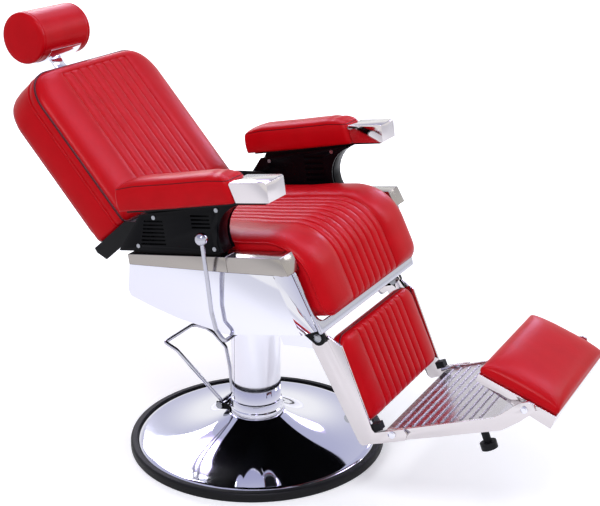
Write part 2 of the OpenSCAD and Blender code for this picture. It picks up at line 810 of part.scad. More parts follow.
module recline_bracket(ear) {
    p = [-back_n0, -back_t0];
    e = p + [crank.x * cos(back_angle) - crank.y * sin(back_angle),
             crank.x * sin(back_angle) + crank.y * cos(back_angle)];
    difference() {
        union() {
            side_plate(web_x, web_t) {
                polygon(concat([[128, 0], [5, 0], [-8, -8]], arc(p, hub_r, 110, 330, 8),
                               [[-16, -46], [8, -40], [118, -40], [130, -12]]));
                if (ear) {
                    polygon([p + [6, 16], p + [-6, -16], e + [-4, -11], e + [4, 11]]);
                    translate(e) circle(r = crank_r);
                }
            }
            translate([150, 15, -5]) cube([web_x + web_t - 150, 105, 5]);
        }
        x_rod(recline_pin_r + fit, web_x - 1, web_x + web_t + 1, p.x, p.y);
        for (n = bolt_n) translate([172, n, -6]) cylinder(r = 4, h = 8);
        x_rod(tube_r, web_x - 1, web_x + 3, tube_n, tube_t);
    }
    if (ear) x_rod(crank_pin_r, link_x - 0.5, web_x + 1, e.x, e.y);
}

bolt_n = [66, 104];
tube_r = 12;
tube_n = 85;
tube_t = -20;

module recline_brackets() {
    color(black) back() {
        recline_bracket(true);
        mirror([1, 0, 0]) recline_bracket(false);
    }
}

module bracket_bolts() {
    color(steel) back() both() for (n = bolt_n) translate([172, n, 0]) {
        translate([0, 0, -5]) cylinder(r = 4, h = 30);
        translate([0, 0, -10]) cylinder(r = 7, h = 5, $fn = 6);
    }
}

module back_tube() {
    color(steel) back() x_rod(tube_r, -web_x - 3, web_x + 3, tube_n, tube_t);
}

frame_half = back_w / 2 - back_side;
frame_top = back_l - back_top;
batten = 40;
back_swell = 12;
base_corner = 32;

module back_frame() {
    depth = back_d - frame_front - gap;
    color(ply) back() difference() {
        translate([-frame_half, frame_front + gap, 0]) cube([2 * frame_half, depth, frame_top]);
        translate([-frame_half + batten, frame_front + 18, batten])
            cube([2 * (frame_half - batten), depth, frame_top - 2 * batten]);
        translate([-post_w / 2 - 4, guide_n - post_t / 2 - 4, frame_top - batten - 1])
            cube([post_w + 8, post_t + 8, batten + 2]);
        both() for (n = bolt_n) translate([172, n, -1]) cylinder(r = 4, h = 26.1);
    }
}

module post_guide() {
    color(steel) back() difference() {
        translate([-post_w / 2 - 3.9, guide_n - post_t / 2 - 3.9, 230])
            cube([post_w + 7.8, post_t + 7.8, frame_top - 230]);
        translate([-post_w / 2 - fit, guide_n - post_t / 2 - fit, 229])
            cube([post_w + 2 * fit, post_t + 2 * fit, frame_top]);
    }
}

// Back section: [n, t, outward n, outward t]; the pocket behind holds the frame
function back_section(pocket, notch) =
    let (r0 = 26, r1 = 44, n1 = pocket ? frame_front : back_d, t1 = pocket ? frame_top + gap : back_l - 40,
         t0 = pocket ? 0.4 : 14, nn = notch ? guide_n - post_t / 2 - 3 : back_d)
    concat([for (a = [0:30:90]) [r0 - r0 * sin(a), 3 + r0 - r0 * cos(a), -sin(a), -0.3 * cos(a)]],
           [for (t = [90, 190, 290]) [0, t, -1, 0]],
           [for (a = [0:18:90]) [r1 - r1 * cos(a), back_l - r1 + r1 * sin(a), -cos(a), 0.5 * sin(a)]],
           [[nn - 8, back_l, 0, 0.2], [nn, back_l - 6, 0, 0],
            [nn, t1, 0, 0], [n1, pocket ? t1 : t1 - 150, 0, 0], [n1, t0, 0, 0]]);

module back_cushion() {
    half = back_w / 2;
    depth = 8;
    notch = post_w / 2 + 6;
    base = stations(half + back_swell, back_ribs, back_pitch);
    cuts = [-frame_half - gap - 0.5, -frame_half - gap, -notch - 0.5, -notch, notch, notch + 0.5,
            frame_half + gap, frame_half + gap + 0.5];
    xs = concat([for (x = base) if (x < cuts[0] - 6) x], [cuts[0], cuts[1]],
                [for (x = base) if (x > cuts[1] + 6 && x < cuts[2] - 3) x], [cuts[2], cuts[3]],
                [for (x = base) if (abs(x) < notch - 3) x], [cuts[4], cuts[5]],
                [for (x = base) if (x > cuts[5] + 3 && x < cuts[6] - 6) x], [cuts[6], cuts[7]],
                [for (x = base) if (x > cuts[7] + 6) x]);
    rings = [for (x = xs)
        let (k = puff(x, half + back_swell) * back_crown - depth * seam(x, back_ribs, back_pitch),
             s = abs(x) > half + back_swell - 1 ? 9 : abs(x) > half + back_swell - 3 ? 3 : 0,
             down = corner_drop(x, half + back_swell, back_corner),
             up = corner_drop(x, half + back_swell, base_corner),
             in_pocket = abs(x) < frame_half + gap + 0.2, in_notch = abs(x) < notch + 0.2)
        let (section = back_section(in_pocket, in_notch))
        [for (i = [len(section) - 1:-1:0]) let (p = section[i])
            [x, p.x + (k - 2 - s) * p[2],
             p.y + (k * 0.6 - s) * p[3] - (p.y > back_l - 60 && (!in_pocket || p.y > frame_top + 1) ? down : 0)
                 + (p.y < 60 && !in_pocket ? up : 0)]]];
    color(red_vinyl) back() ring_skin(rings, [60, 200]);
}

module back_panel() {
    half = back_w / 2 - 4;
    edge = 10;
    top_r = back_corner - edge;
    low_r = base_corner - 2;
    color(red_vinyl) back() translate([0, back_d + gap, 0]) rotate([-90, 0, 0]) linear_extrude(panel_t - gap)
        polygon(concat(arc([half - top_r, edge + top_r - back_l], top_r, -90, 0, 8),
                       arc([half - low_r, -edge - low_r], low_r, 0, 90, 5),
                       arc([low_r - half, -edge - low_r], low_r, 90, 180, 5),
                       arc([top_r - half, edge + top_r - back_l], top_r, 180, 270, 8)));
}

module headrest_post() {
    n = guide_n - roll_n;
    top = roll_t - sqrt(pow(roll_r + saddle_t, 2) - pow(n + post_t / 2, 2));
    color(bright) back() difference() {
        translate([-post_w / 2, guide_n - post_t / 2, 330]) cube([post_w, post_t, top - 325]);
        x_rod(roll_r + saddle_t + gap / 2, -post_w, post_w, roll_n, roll_t);
    }
}

module headrest_saddle() {
    r = roll_r + gap;
    color(bright) back() side_plate(-60, 120)
        polygon(concat([for (p = arc([roll_n, roll_t], roll_r + saddle_t, saddle_arc, 5, 20)) p],
                       arc([roll_n, roll_t], r, 5, saddle_arc, 20)));
}

module headrest_roll() {
    h = roll_l / 2;
    e = 7;
    color(red_vinyl) back() translate([0, roll_n, roll_t]) rotate([0, 90, 0]) rotate_extrude($fn = 64)
        polygon(concat([[0, -h - 3], [roll_r * 0.5, -h - 1.5]], arc([roll_r - e, e - h], e, -90, 0, 3),
                       [[roll_r, 0]], arc([roll_r - e, h - e], e, 0, 90, 3),
                       [[roll_r * 0.5, h + 1.5], [0, h + 3]]));
}

// Leg rest -------------------------------------------------------------------------

module link_bar() {
    a = [pivot_y, pivot_z] + crank;
    b = [q_y, q_z] + crank;
    len = norm(a - b);
    ang = atan2(a.y - b.y, a.x - b.x);
    color(steel) difference() {
        side_plate(link_x, link_t) union() {
            translate(b) rotate(ang) translate([0, -9]) square([len, 18]);
            translate(a) circle(r = 12);
            translate(b) circle(r = 12);
        }
        x_rod(crank_pin_r + fit, link_x - 1, link_x + link_t + 1, a.x, a.y);
        x_rod(crank_pin_r + 0.1, link_x - 1, link_x + link_t + 1, b.x, b.y);
    }
}

module leg_arm(ear) {
    e = [crank.x * cos(leg_angle) - crank.y * sin(leg_angle),
         crank.x * sin(leg_angle) + crank.y * cos(leg_angle)];
    difference() {
        union() {
            side_plate(leg_in, plate_t) {
                polygon([[16, 8], [28, -17], [6, -265], [0, -274], [-25, -274], [-54, -277],
                         [-112, -281], [-122, -268], [-118, -254], [-87, -252], [-44, -249],
                         [-40, -240], [-45.5, -36], [-22, -5]]);
                circle(r = 18);
                if (ear) {
                    polygon([[0, -16], [16, 8], e + [4, 11], e + [-4, -11]]);
                    translate(e) circle(r = crank_r);
                }
            }
            if (ear) x_rod(crank_pin_r, leg_out - 1, link_x + link_t + 3, e.x, e.y);
        }
        x_rod(hinge_pin_r + fit, leg_in - 1, leg_out + 1, 0, 0);
        x_rod(fold_pin_r, leg_in - 1, leg_out + 1, fold_y, fold_z);
    }
}

module leg_arms() {
    color(bright) leg() {
        leg_arm(true);
        mirror([1, 0, 0]) leg_arm(false);
    }
}

leg_tube_r = 11;
leg_tube_y = 13;
leg_tubes_z = [-45, -205];
calf_board_y = 0.5;
calf_top = -16;
calf_low = -226;

module leg_tubes() {
    color(steel) leg() for (z = leg_tubes_z) x_rod(leg_tube_r, -leg_in, leg_in, leg_tube_y, z);
}

module calf_board() {
    half = calf_half - 8;
    r = calf_corner - 6;
    top = calf_top - 14;
    low = calf_low + 8;
    color(ply) leg() difference() {
        translate([0, 2, 0]) rotate([90, 0, 0]) linear_extrude(14)
            polygon(concat([[-half, low], [half, low]], arc([half - r, top - r], r, 0, 90, 5),
                           arc([r - half, top - r], r, 90, 180, 5)));
        for (z = leg_tubes_z) x_rod(leg_tube_r, -leg_in, leg_in, leg_tube_y, z);
    }
}

// Calf pad section: [y, z, outward y, outward z]
calf_section = concat(
    [[-12 - gap, calf_top - 12, 0, 0], [-28, calf_top - 4, 0, 0.4], [-36, calf_top - 7, -0.4, 0.3],
     [-40, calf_top - 16, -0.8, 0]],
    [for (z = [-65, -98, -130, -165, -195]) [-41, z, -1, 0]],
    [[-38, calf_low + 8, -0.7, 0], [-30, calf_low + 2, 0, 0], [-12 - gap, calf_low + 4, 0, 0]]);

module calf_pad() {
    depth = 7;
    low_r = 13;
    rings = [for (x = stations(calf_half, calf_ribs, calf_pitch))
        let (k = puff(x, calf_half) * calf_crown - depth * seam(x, calf_ribs, calf_pitch),
             s = abs(x) > calf_half - 1 ? 5 : 0, down = corner_drop(x, calf_half + 2, calf_corner),
             up = corner_drop(x, calf_half + 2, low_r))
        [for (p = calf_section) [x, p.x + (k - s) * p[2],
            p.y + (k - s) * 0.5 * p[3] - (p.y > calf_top - 20 ? down : 0) + (p.y < calf_low + 10 ? up : 0)]]];
    color(red_vinyl) leg() ring_skin(rings, [-25, -120]);
}

module brake_quadrant() {
    a0 = -28 + leg_angle;
    a1 = 47 + leg_angle;
    color(steel) leg() difference() {
        side_plate(-brake_x - 3, 6) polygon(concat(arc([0, 0], quadrant_r, a0, a1, 16),
            arc([0, 0], quadrant_r - 18, a1, a0 + 36, 8),
            [[26, -4], [leg_tube_y - 6, leg_tubes_z[0] + 13], [leg_tube_y + 4, leg_tubes_z[0] - 14],
             [leg_tube_y + 17, leg_tubes_z[0] - 4]]));
        x_rod(leg_tube_r, -leg_in, leg_in, leg_tube_y, leg_tubes_z[0]);
    }
}

module stop_blocks() {
    color(black) leg() both() translate([leg_in - 20, -60, -248]) cube([20, 22, 17]);
}

module fold_bolts() {
    color(steel) leg() both() {
        x_rod(fold_pin_r, bar_x - 3, leg_out + 2, fold_y, fold_z);
        bolt_head(fold_pin_r + head_rim, leg_out, fold_y, fold_z);
        x_rod(fold_pin_r + head_rim, bar_x - 5, bar_x - gap, fold_y, fold_z);
    }
}

// Foot plate -----------------------------------------------------------------------

module foot_bars() {
    color(bright) leg() both() difference() {
        side_plate(bar_x, plate_t)
            polygon([[-40, -252], [-40, -262], [-60, -276], [-112, -282], [-198, -290], [-260, -294],
                     [-345, -301], [-392, -290], [-417, -281], [-436, -272], [-439, -258], [-428, -250],
                     [-408, -249],
                     [-389, -254], [-359, -265], [-335, -270], [-304, -267], [-114, -256], [-85, -249.5]]);
        x_rod(fold_pin_r + fit, bar_x - 1, leg_in, fold_y, fold_z);
        x_rod(pad_pin_r, bar_x - 1, leg_in, foot_pivot_y, foot_pivot_z);
    }
}

tread_rear = -57;
tread_l = 282;
tread_z = -257;

module tread_plate() {
    half = bar_x - gap / 3;
    color(bright) leg() translate([0, tread_rear, tread_z]) rotate([tread_slope, 0, 0]) difference() {
        union() {
            translate([-half, -tread_l, -4]) cube([2 * half, tread_l, 4]);
            for (i = [0:tread_ribs - 1]) translate([-half + 14, -24 - i * tread_pitch, 0]) rotate([0, 90, 0])
                cylinder(r = 3, h = 2 * half - 28, $fn = 24);
            translate([-half, -tread_l, -20]) cube([2 * half, 4, 18]);
            translate([-half, -4, -12]) cube([2 * half, 4, 10]);
            translate([-half, -246, -26]) cube([2 * half, 30, 23]);
        }
        both() x_rod(11, half - 8, half + 1, fold_y - tread_rear, fold_z - tread_z);
    }
}

module bumpers() {
    color(black) leg() translate([0, tread_rear, tread_z]) rotate([tread_slope, 0, 0]) both()
        translate([bar_x - 33, -231, 0]) {
            translate([0, 0, -66]) cylinder(r = 9, h = 40);
            translate([0, 0, -80]) cylinder(r = 19, h = 16);
        }
}

module pad_bolts() {
    color(steel) leg() both() {
        x_rod(pad_pin_r, tray_half - 8, bar_x + plate_t, foot_pivot_y, foot_pivot_z);
        x_rod(pad_pin_r + 2 * head_rim, tray_half + gap, bar_x, foot_pivot_y, foot_pivot_z);
        bolt_head(pad_pin_r + head_rim, bar_x + plate_t, foot_pivot_y, foot_pivot_z);
    }
}

tray_rear = 124.5;
tray_front = -64;
tray_top = 9;

module pad_tray() {
    o = [[tray_rear, -8], [tray_rear - 2, tray_top], [tray_front, tray_top], [tray_front, -24], [25, -19]];
    color(bright) foot_tray() difference() {
        side_plate(-tray_half, 2 * tray_half) polygon(o);
        side_plate(3 - tray_half, 2 * tray_half - 6)
            polygon([[tray_rear - 4, -40], [tray_rear - 4, tray_top - 3], [tray_front + 3, tray_top - 3],
                     [tray_front + 3, -40]]);
        x_rod(pad_pin_r + fit, -tray_half - 1, tray_half + 1, 0, 0);
    }
}

// Foot pad section: [rearward, up, outward rearward, outward up]
foot_section = concat(
    [[tray_rear - 6, tray_top + gap, 0, 0], [tray_front + 5, tray_top + gap, 0, 0],
     [tray_front - 2, tray_top + 8, -0.4, 0],
     [tray_front, tray_top + 17, -0.8, 0.2], [tray_front + 9, tray_top + 24, -0.5, 0.8]],
    [for (u = [-30, 10, 50, 85]) [u, tray_top + 26, 0, 1]],
    [[tray_rear - 12, tray_top + 24, 0.4, 0.8], [tray_rear - 3, tray_top + 17, 0.8, 0.2],
     [tray_rear - 2, tray_top + 8, 0.4, 0]]);

foot_crown = 7;

module foot_pad() {
    half = tray_half - 6;
    rings = [for (u = [-1, -0.97, -0.85, -0.55, 0, 0.55, 0.85, 0.97, 1])
        let (x = u * half, k = foot_crown * puff(x, half), s = abs(x) > half - 1 ? 4 : 0)
        [for (i = [len(foot_section) - 1:-1:0]) let (p = foot_section[i])
            [x, p.x + (k - s) * 0.5 * p[2], p.y + (k - s) * p[3]]]];
    color(red_vinyl) foot_tray() ring_skin(rings, [30, tray_top + 15]);
}

// Lever ----------------------------------------------------------------------------

// The lever's bends and its ball, from the shaft
lever_bends = [[21, 24], [32, 66], [40, 141], [50, 222]];
lever_ball_at = [52, 235];

module lever_rod() {
    r = lever_rod_d / 2;
    color(bright) {
        x_rod(r, -lever_x, -118, lever_y, lever_z);
        translate([-lever_x, lever_y, lever_z]) sphere(r = 1.02 * r);
        rod_path([for (p = concat([[0, 0]], lever_bends)) [-lever_x, lever_y + p.x, lever_z + p.y]], r);
    }
}

module lever_ball() {
    end = lever_bends[3];
    d = end - lever_bends[2];
    r = lever_rod_d / 2 * 1.02 + 0.02;
    color(bright) difference() {
        translate([-lever_x, lever_y + lever_ball_at.x, lever_z + lever_ball_at.y]) sphere(r = ball_d / 2);
        translate([-lever_x, lever_y + end.x, lever_z + end.y]) {
            sphere(r = r);
            rotate([-atan2(d.x, d.y), 0, 0]) translate([0, 0, -30]) cylinder(r = r, h = 30);
        }
    }
}

module brake_cam() {
    toward = [q_y - lever_y, q_z - lever_z] / norm([q_y - lever_y, q_z - lever_z]);
    color(steel) difference() {
        x_rod(cam_r, -brake_x - 3, -brake_x + 3,
              lever_y + cam_offset * toward.x, lever_z + cam_offset * toward.y);
        x_rod(lever_rod_d / 2, -brake_x - 4, -brake_x + 4, lever_y, lever_z);
    }
}

base_plate();
base_dome();
floor_ring();
pump_cylinder();
gland_nut();
pump_collar();
pedal_bracket();
pedal_shaft();
pump_pedal();
ram();
thrust_bearing();
column_sleeve();
swivel_housing();
seat_mount();
seat_frame();
side_rail_left();
side_rail_right();
rail_caps();
side_shell_left();
side_shell_right();
front_trim();
seat_board();
seat_cushion();
arm_frames();
arm_blocks();
arm_covers_outer();
arm_covers_inner();
armrest_pad_left();
armrest_pad_right();
cover_screws();
hinge_plates();
hinge_pins();
recline_pins();
recline_brackets();
bracket_bolts();
back_tube();
back_frame();
back_cushion();
back_panel();
post_guide();
headrest_post();
headrest_saddle();
headrest_roll();
link_bar();
leg_arms();
leg_tubes();
calf_board();
calf_pad();
brake_quadrant();
stop_blocks();
fold_bolts();
foot_bars();
tread_plate();
bumpers();
pad_bolts();
pad_tray();
foot_pad();
lever_rod();
lever_ball();
brake_cam();
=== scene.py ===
import bmesh
import bpy
import math
import numpy as np
from mathutils import Matrix, Vector


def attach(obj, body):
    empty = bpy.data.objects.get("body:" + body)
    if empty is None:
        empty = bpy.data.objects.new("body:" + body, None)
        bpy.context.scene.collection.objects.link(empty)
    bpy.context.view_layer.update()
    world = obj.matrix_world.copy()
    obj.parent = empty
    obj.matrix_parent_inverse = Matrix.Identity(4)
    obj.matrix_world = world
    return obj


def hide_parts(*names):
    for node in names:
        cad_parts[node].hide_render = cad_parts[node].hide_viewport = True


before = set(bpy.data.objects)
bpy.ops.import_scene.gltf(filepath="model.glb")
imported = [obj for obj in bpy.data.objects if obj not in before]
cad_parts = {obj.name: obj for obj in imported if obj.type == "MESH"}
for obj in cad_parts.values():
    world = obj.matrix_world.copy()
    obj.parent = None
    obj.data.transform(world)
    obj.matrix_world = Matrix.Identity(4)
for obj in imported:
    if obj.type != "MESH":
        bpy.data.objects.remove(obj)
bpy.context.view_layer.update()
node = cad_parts

# ---------------------------------------------------------------------------
# Camera: a long lens off the sitter's front right, higher than the headrest,
# looking down over the near arm so that seat, leg rest and base all show.
yaw, pitch, roll = np.radians([61.49, 19.61, -0.44])
sight = np.array([math.sin(yaw) * math.cos(pitch), math.cos(yaw) * math.cos(pitch), -math.sin(pitch)])
level = np.array([math.cos(yaw), -math.sin(yaw), 0.0])
upward = np.cross(level, sight)
across = math.cos(roll) * level + math.sin(roll) * upward
upright = -math.sin(roll) * level + math.cos(roll) * upward
lens = bpy.data.cameras.new("portrait lens")
lens.lens, lens.sensor_width = 74.24, 36.0
lens.clip_start, lens.clip_end = 0.05, 60.0
camera = bpy.data.objects.new("camera", lens)
eye = (-2.4945, -1.4857, 1.5462)
camera.matrix_world = Matrix([[across[i], upright[i], -sight[i], eye[i]] for i in range(3)] + [[0, 0, 0, 1]])
bpy.context.scene.collection.objects.link(camera)
bpy.context.scene.camera = camera
bpy.context.scene.view_settings.view_transform = "Standard"


# ---------------------------------------------------------------------------
# Studio: a pale seamless floor in a white room, lit by three soft boxes. Bright
# cards that only mirror rays see draw the highlights on vinyl, and one dark
# board that only mirror rays see paints a black reflection in the base's chrome.
def linear(code):
    """sRGB hex code to linear RGBA: each channel c goes to ((c + 0.055) / 1.055) ** 2.4 above the toe."""
    c = np.array([int(code[i:i + 2], 16) for i in (1, 3, 5)]) / 255
    return (*np.where(c > 0.04045, ((c + 0.055) / 1.055) ** 2.4, c / 12.92), 1.0)


def add(tree, kind, inputs=None, **settings):
    """One shader node: settings are its properties, inputs the value or the feeding output of its sockets."""
    made = tree.nodes.new("ShaderNode" + kind)
    for name, value in settings.items():
        setattr(made, name, value)
    for name, value in (inputs or {}).items():
        if isinstance(value, bpy.types.NodeSocket):
            tree.links.new(value, made.inputs[name])
        else:
            made.inputs[name].default_value = value
    return made


def blend(tree, factor, low, high):
    """Output of a mix of two hex colours, whose factor is an output that runs from 0 to 1."""
    return add(tree, "Mix", {0: factor, 6: linear(low), 7: linear(high)}, data_type="RGBA").outputs[2]


def ramp(tree, value, start, end, low, high, kind="LINEAR"):
    """Output that goes from low to high while value goes from start to end, and holds beyond them."""
    made = add(tree, "MapRange", {0: value, 1: start, 2: end, 3: low, 4: high}, interpolation_type=kind)
    return made.outputs[0]


def room():
    """White world with a lavender ceiling in mirrors: the mix rises smoothly with the ray's height."""
    world = bpy.data.worlds.new("white room")
    bpy.context.scene.world = world
    world.use_nodes = True
    tree = world.node_tree
    tree.nodes.clear()
    path = add(tree, "LightPath").outputs
    seen = add(tree, "Math", {0: path["Is Camera Ray"], 1: path["Is Glossy Ray"]}, operation="MAXIMUM")
    seen = add(tree, "Math", {0: seen.outputs[0], 1: path["Is Transmission Ray"]}, operation="MAXIMUM")
    height = add(tree, "SeparateXYZ", {0: add(tree, "TexCoord").outputs["Generated"]}).outputs[2]
    rise = ramp(tree, height, 0.12, 0.60, 0.0, 1.0, "SMOOTHSTEP")
    ceiling = add(tree, "Math", {0: rise, 1: path["Is Glossy Ray"]}, operation="MULTIPLY").outputs[0]
    soft = add(tree, "Background", {"Color": linear("#F4F6FF"), "Strength": 0.56})
    white = add(tree, "Background", {"Color": blend(tree, ceiling, "#FFFFFF", "#BCBED8"), "Strength": 1.0})
    mixed = add(tree, "MixShader", {0: seen.outputs[0], 1: soft.outputs[0], 2: white.outputs[0]})
    add(tree, "OutputWorld", {"Surface": mixed.outputs[0]})


room()


def bare(name):
    """A material with an empty node tree; returns (material, tree)."""
    made = bpy.data.materials.new(name)
    made.use_nodes = True
    made.node_tree.nodes.clear()
    return made, made.node_tree


def floor_material():
    """Matt white floor whose glow, for the camera and more weakly for mirrors, grows with the distance."""
    made, tree = bare("matt white studio floor")
    path = add(tree, "LightPath").outputs
    grain = add(tree, "TexNoise", {"Scale": 3.0, "Detail": 2.0}).outputs[0]
    matt = add(tree, "BsdfDiffuse", {"Color": blend(tree, grain, "#F2F2F4", "#EEEEF1")})
    place = add(tree, "TexCoord").outputs["Object"]
    reach = add(tree, "VectorMath", {0: place}, operation="LENGTH").outputs["Value"]
    direct = ramp(tree, reach, 0.6, 2.6, 0.36, 1.0)
    direct = add(tree, "Math", {0: direct, 1: path["Is Camera Ray"]}, operation="MULTIPLY").outputs[0]
    mirrored = ramp(tree, reach, 0.5, 2.4, 0.28, 0.36)
    lift = add(tree, "Math", {0: mirrored, 1: path["Is Glossy Ray"], 2: direct}, operation="MULTIPLY_ADD")
    glow = add(tree, "Emission", {"Color": linear("#F8F8FF"), "Strength": lift.outputs[0]})
    both = add(tree, "AddShader", {0: matt.outputs[0], 1: glow.outputs[0]})
    add(tree, "OutputMaterial", {"Surface": both.outputs[0]})
    return made


def flat_board(name, corners, finish):
    """A flat board from its corner points, given in turn."""
    mesh = bpy.data.meshes.new(name)
    mesh.from_pydata(corners, [], [tuple(range(len(corners)))])
    made = bpy.data.objects.new(name, mesh)
    made.data.materials.append(finish)
    bpy.context.scene.collection.objects.link(made)
    return made


flat_board("studio_floor", [(-14, -14, 0), (14, -14, 0), (14, 14, 0), (-14, 14, 0)], floor_material())


def mirror_only(board):
    """Hides a board from every ray except a mirror's."""
    for ray in ("camera", "diffuse", "shadow", "transmission", "volume_scatter"):
        setattr(board, "visible_" + ray, False)


def material(name, colour, **sockets):
    """A material of one Principled shader with its constants; returns (material, tree, shader).

    Socket names are written with _ for a space.
    """
    made = bpy.data.materials.new(name)
    made.use_nodes = True
    shader = made.node_tree.nodes["Principled BSDF"]
    shader.inputs["Base Color"].default_value = linear(colour)
    for socket, value in sockets.items():
        shader.inputs[socket.replace("_", " ")].default_value = value
    return made, made.node_tree, shader


def mottle(tree, shader, low, high, size, socket="Base Color", detail=3.0, stretch=(1, 1, 1)):
    """Noise of a size in metres swings a socket between two hex colours or two numbers.

    Returns the noise's output, which runs from 0 to 1.
    """
    place = add(tree, "TexCoord").outputs["Object"]
    place = add(tree, "Mapping", {"Vector": place, "Scale": stretch}).outputs[0]
    noise = add(tree, "TexNoise", {"Vector": place, "Scale": 1 / size, "Detail": detail}).outputs[0]
    spread = blend(tree, noise, low, high) if isinstance(low, str) else ramp(tree, noise, 0.3, 0.7, low, high)
    tree.links.new(spread, shader.inputs[socket])
    return noise


# A black board under the seat that only mirror rays see: a painted reflection, the dark wedge in the base's
# chrome.
painted_reflection_felt, tree, shader = material("black felt flag", "#070708", Roughness=1.0, Specular_IOR_Level=0.0)
mottle(tree, shader, "#040405", "#0A0A0C", 0.025)
flag_outline = ((-0.25, -0.26), (0.25, -0.26), (0.69, 0.14), (0.56, 0.46), (0.10, 0.27), (-0.25, 0.27))
mirror_only(flat_board("painted_reflection_under_seat", [(x, y, 0.40) for x, y in flag_outline], painted_reflection_felt))


def facing(place, target):
    """Pose of a thing at place whose front looks at target."""
    turn = (Vector(target) - Vector(place)).to_track_quat("-Z", "Y")
    return Matrix.Translation(place) @ turn.to_matrix().to_4x4()


def softbox(name, place, target, size, watts):
    """Rectangular area lamp at place, facing target."""
    lamp = bpy.data.lights.new(name, "AREA")
    lamp.shape, lamp.size, lamp.size_y = "RECTANGLE", *size
    lamp.energy = watts
    made = bpy.data.objects.new(name, lamp)
    made.matrix_world = facing(place, target)
    bpy.context.scene.collection.objects.link(made)


def sheen_card(name, place, target, size, strength):
    """Cold bright board that only mirror rays see, so that it adds no light of its own.

    From 0.2 to 0.6 of its shorter side its strength falls smoothly to 0.9, nearly the room's own, so that
    mirrors show no hard edge.
    """
    pose = facing(place, target)
    corners = [tuple(pose @ Vector((a * size[0] / 2, b * size[1] / 2, -0.01)))
               for a, b in ((-1, -1), (1, -1), (1, 1), (-1, 1))]
    silk, tree = bare(name + " silk")
    weave = add(tree, "TexNoise", {"Scale": 4.0}).outputs[0]
    spot = add(tree, "TexCoord").outputs["Object"]
    reach = add(tree, "VectorMath", {0: spot, 1: place}, operation="DISTANCE")
    fall = ramp(tree, reach.outputs["Value"], 0.2 * min(size), 0.6 * min(size), strength, 0.9, "SMOOTHSTEP")
    light = add(tree, "Emission", {"Color": blend(tree, weave, "#DCD2FF", "#E6DEFF"), "Strength": fall})
    add(tree, "OutputMaterial", {"Surface": light.outputs[0]})
    mirror_only(flat_board(name, corners, silk))


over_seat, mid_back = (0, 0, 0.65), (0, 0.36, 0.80)
softbox("key softbox", (-2.2, -1.2, 3.4), (0, 0, 0.6), (1.1, 1.1), 58)
softbox("far softbox", (2.6, -2.4, 2.6), (0, -0.2, 0.5), (1.0, 1.6), 34)
softbox("rear softbox", (1.9, 2.4, 2.2), (0, 0.1, 0.7), (1.6, 1.0), 34)
sheen_card("key_card", (-2.2, -1.2, 3.4), (0, 0, 0.6), (1.1, 1.1), 16)
sheen_card("far_card", (2.6, -2.4, 2.6), (0, -0.2, 0.5), (1.0, 1.2), 7)
sheen_card("rear_card", (1.60, 1.85, 2.75), over_seat, (1.8, 1.6), 9)
sheen_card("high_card", (1.30, 0.40, 2.95), over_seat, (1.5, 1.2), 11)
sheen_card("border_card", (0.92, -0.80, 2.90), (-0.2, 0.35, 0.85), (1.0, 1.0), 12)
sheen_card("back_card", (1.65, -1.50, 2.65), mid_back, (1.3, 1.1), 16)
sheen_card("low_card", (2.95, 0.00, 1.45), mid_back, (0.7, 0.7), 13)


# ---------------------------------------------------------------------------
# Base: a cast iron plate under a spun and plated steel dome, whose rim sits in
# a moulded rubber ring. The dome flattens to a narrow band inside the ring.
def relief(tree, shader, height, depth, strength=1.0):
    """Bump of a height output in metres of depth."""
    bump = add(tree, "Bump", {"Height": height, "Distance": depth, "Strength": strength})
    tree.links.new(bump.outputs[0], shader.inputs["Normal"])


# Chrome on polished steel: mirror bright with a cold lavender cast, and faint
# wiping haze that only shows as a change of gloss.
chrome, tree, shader = material("chromium plate on polished steel", "#E9E9F2", Metallic=1.0)
mottle(tree, shader, 0.03, 0.07, 0.09, "Roughness")

# Chrome on flat bar and folded plate: the steel is ground, not polished, so it is
# a little hazier; its greyer, warmer colour is painted reflection of the warm grey
# these flat faces mirror.
plate_chrome_reflection_painted, tree, shader = material("chromium plate on ground flat bar", "#D9D3D4", Metallic=1.0)
mottle(tree, shader, 0.05, 0.10, 0.05, "Roughness")

# Chrome on bent bar and strip, which are drawn and not buffed: a shade duller.
bar_chrome, tree, shader = material("chromium plate on drawn bar and strip", "#BEBEC8", Metallic=1.0)
mottle(tree, shader, 0.10, 0.16, 0.03, "Roughness")

# Bright-rolled stainless sheet: a warmer grey than chrome, with a faint grain
# along the rolling direction, drawn at 2 mm.
stainless, tree, shader = material("bright-rolled stainless sheet", "#A8A29C", Metallic=1.0)
mottle(tree, shader, 0.10, 0.17, 0.002, "Roughness", stretch=(1, 0.02, 1))

# Sand-cast iron under thin black stoving paint: pebbled at about 1.5 mm.
cast_iron, tree, shader = material("sand-cast iron, stove painted", "#2C2D30", Metallic=0.2, Roughness=0.6)
relief(tree, shader, mottle(tree, shader, "#26272A", "#34353A", 0.0015, detail=5.0), 0.0004)

# Moulded black rubber: dull, with a soft bloom.
rubber, tree, shader = material("moulded black rubber", "#0B0B0E", Roughness=0.5, Specular_IOR_Level=0.2)
mottle(tree, shader, "#08080B", "#101014", 0.03)
relief(tree, shader, mottle(tree, shader, 0.42, 0.6, 0.002, "Roughness"), 0.00008)


def clad(finish, *names):
    """The finish takes every material slot of these CAD nodes."""
    for name in names:
        for place in node[name].material_slots:
            place.material = finish


def quads(rows, columns, start, round_rows, round_columns):
    """Corner numbers of the faces of a grid of points, wrapped where a direction is closed."""
    i, j = np.meshgrid(np.arange(rows - (not round_rows)), np.arange(columns - (not round_columns)),
                       indexing="ij")
    next_i, next_j = (i + 1) % rows, (j + 1) % columns
    corners = [i * columns + j, next_i * columns + j, next_i * columns + next_j, i * columns + next_j]
    return start + np.stack(corners, -1).reshape(-1, 4)


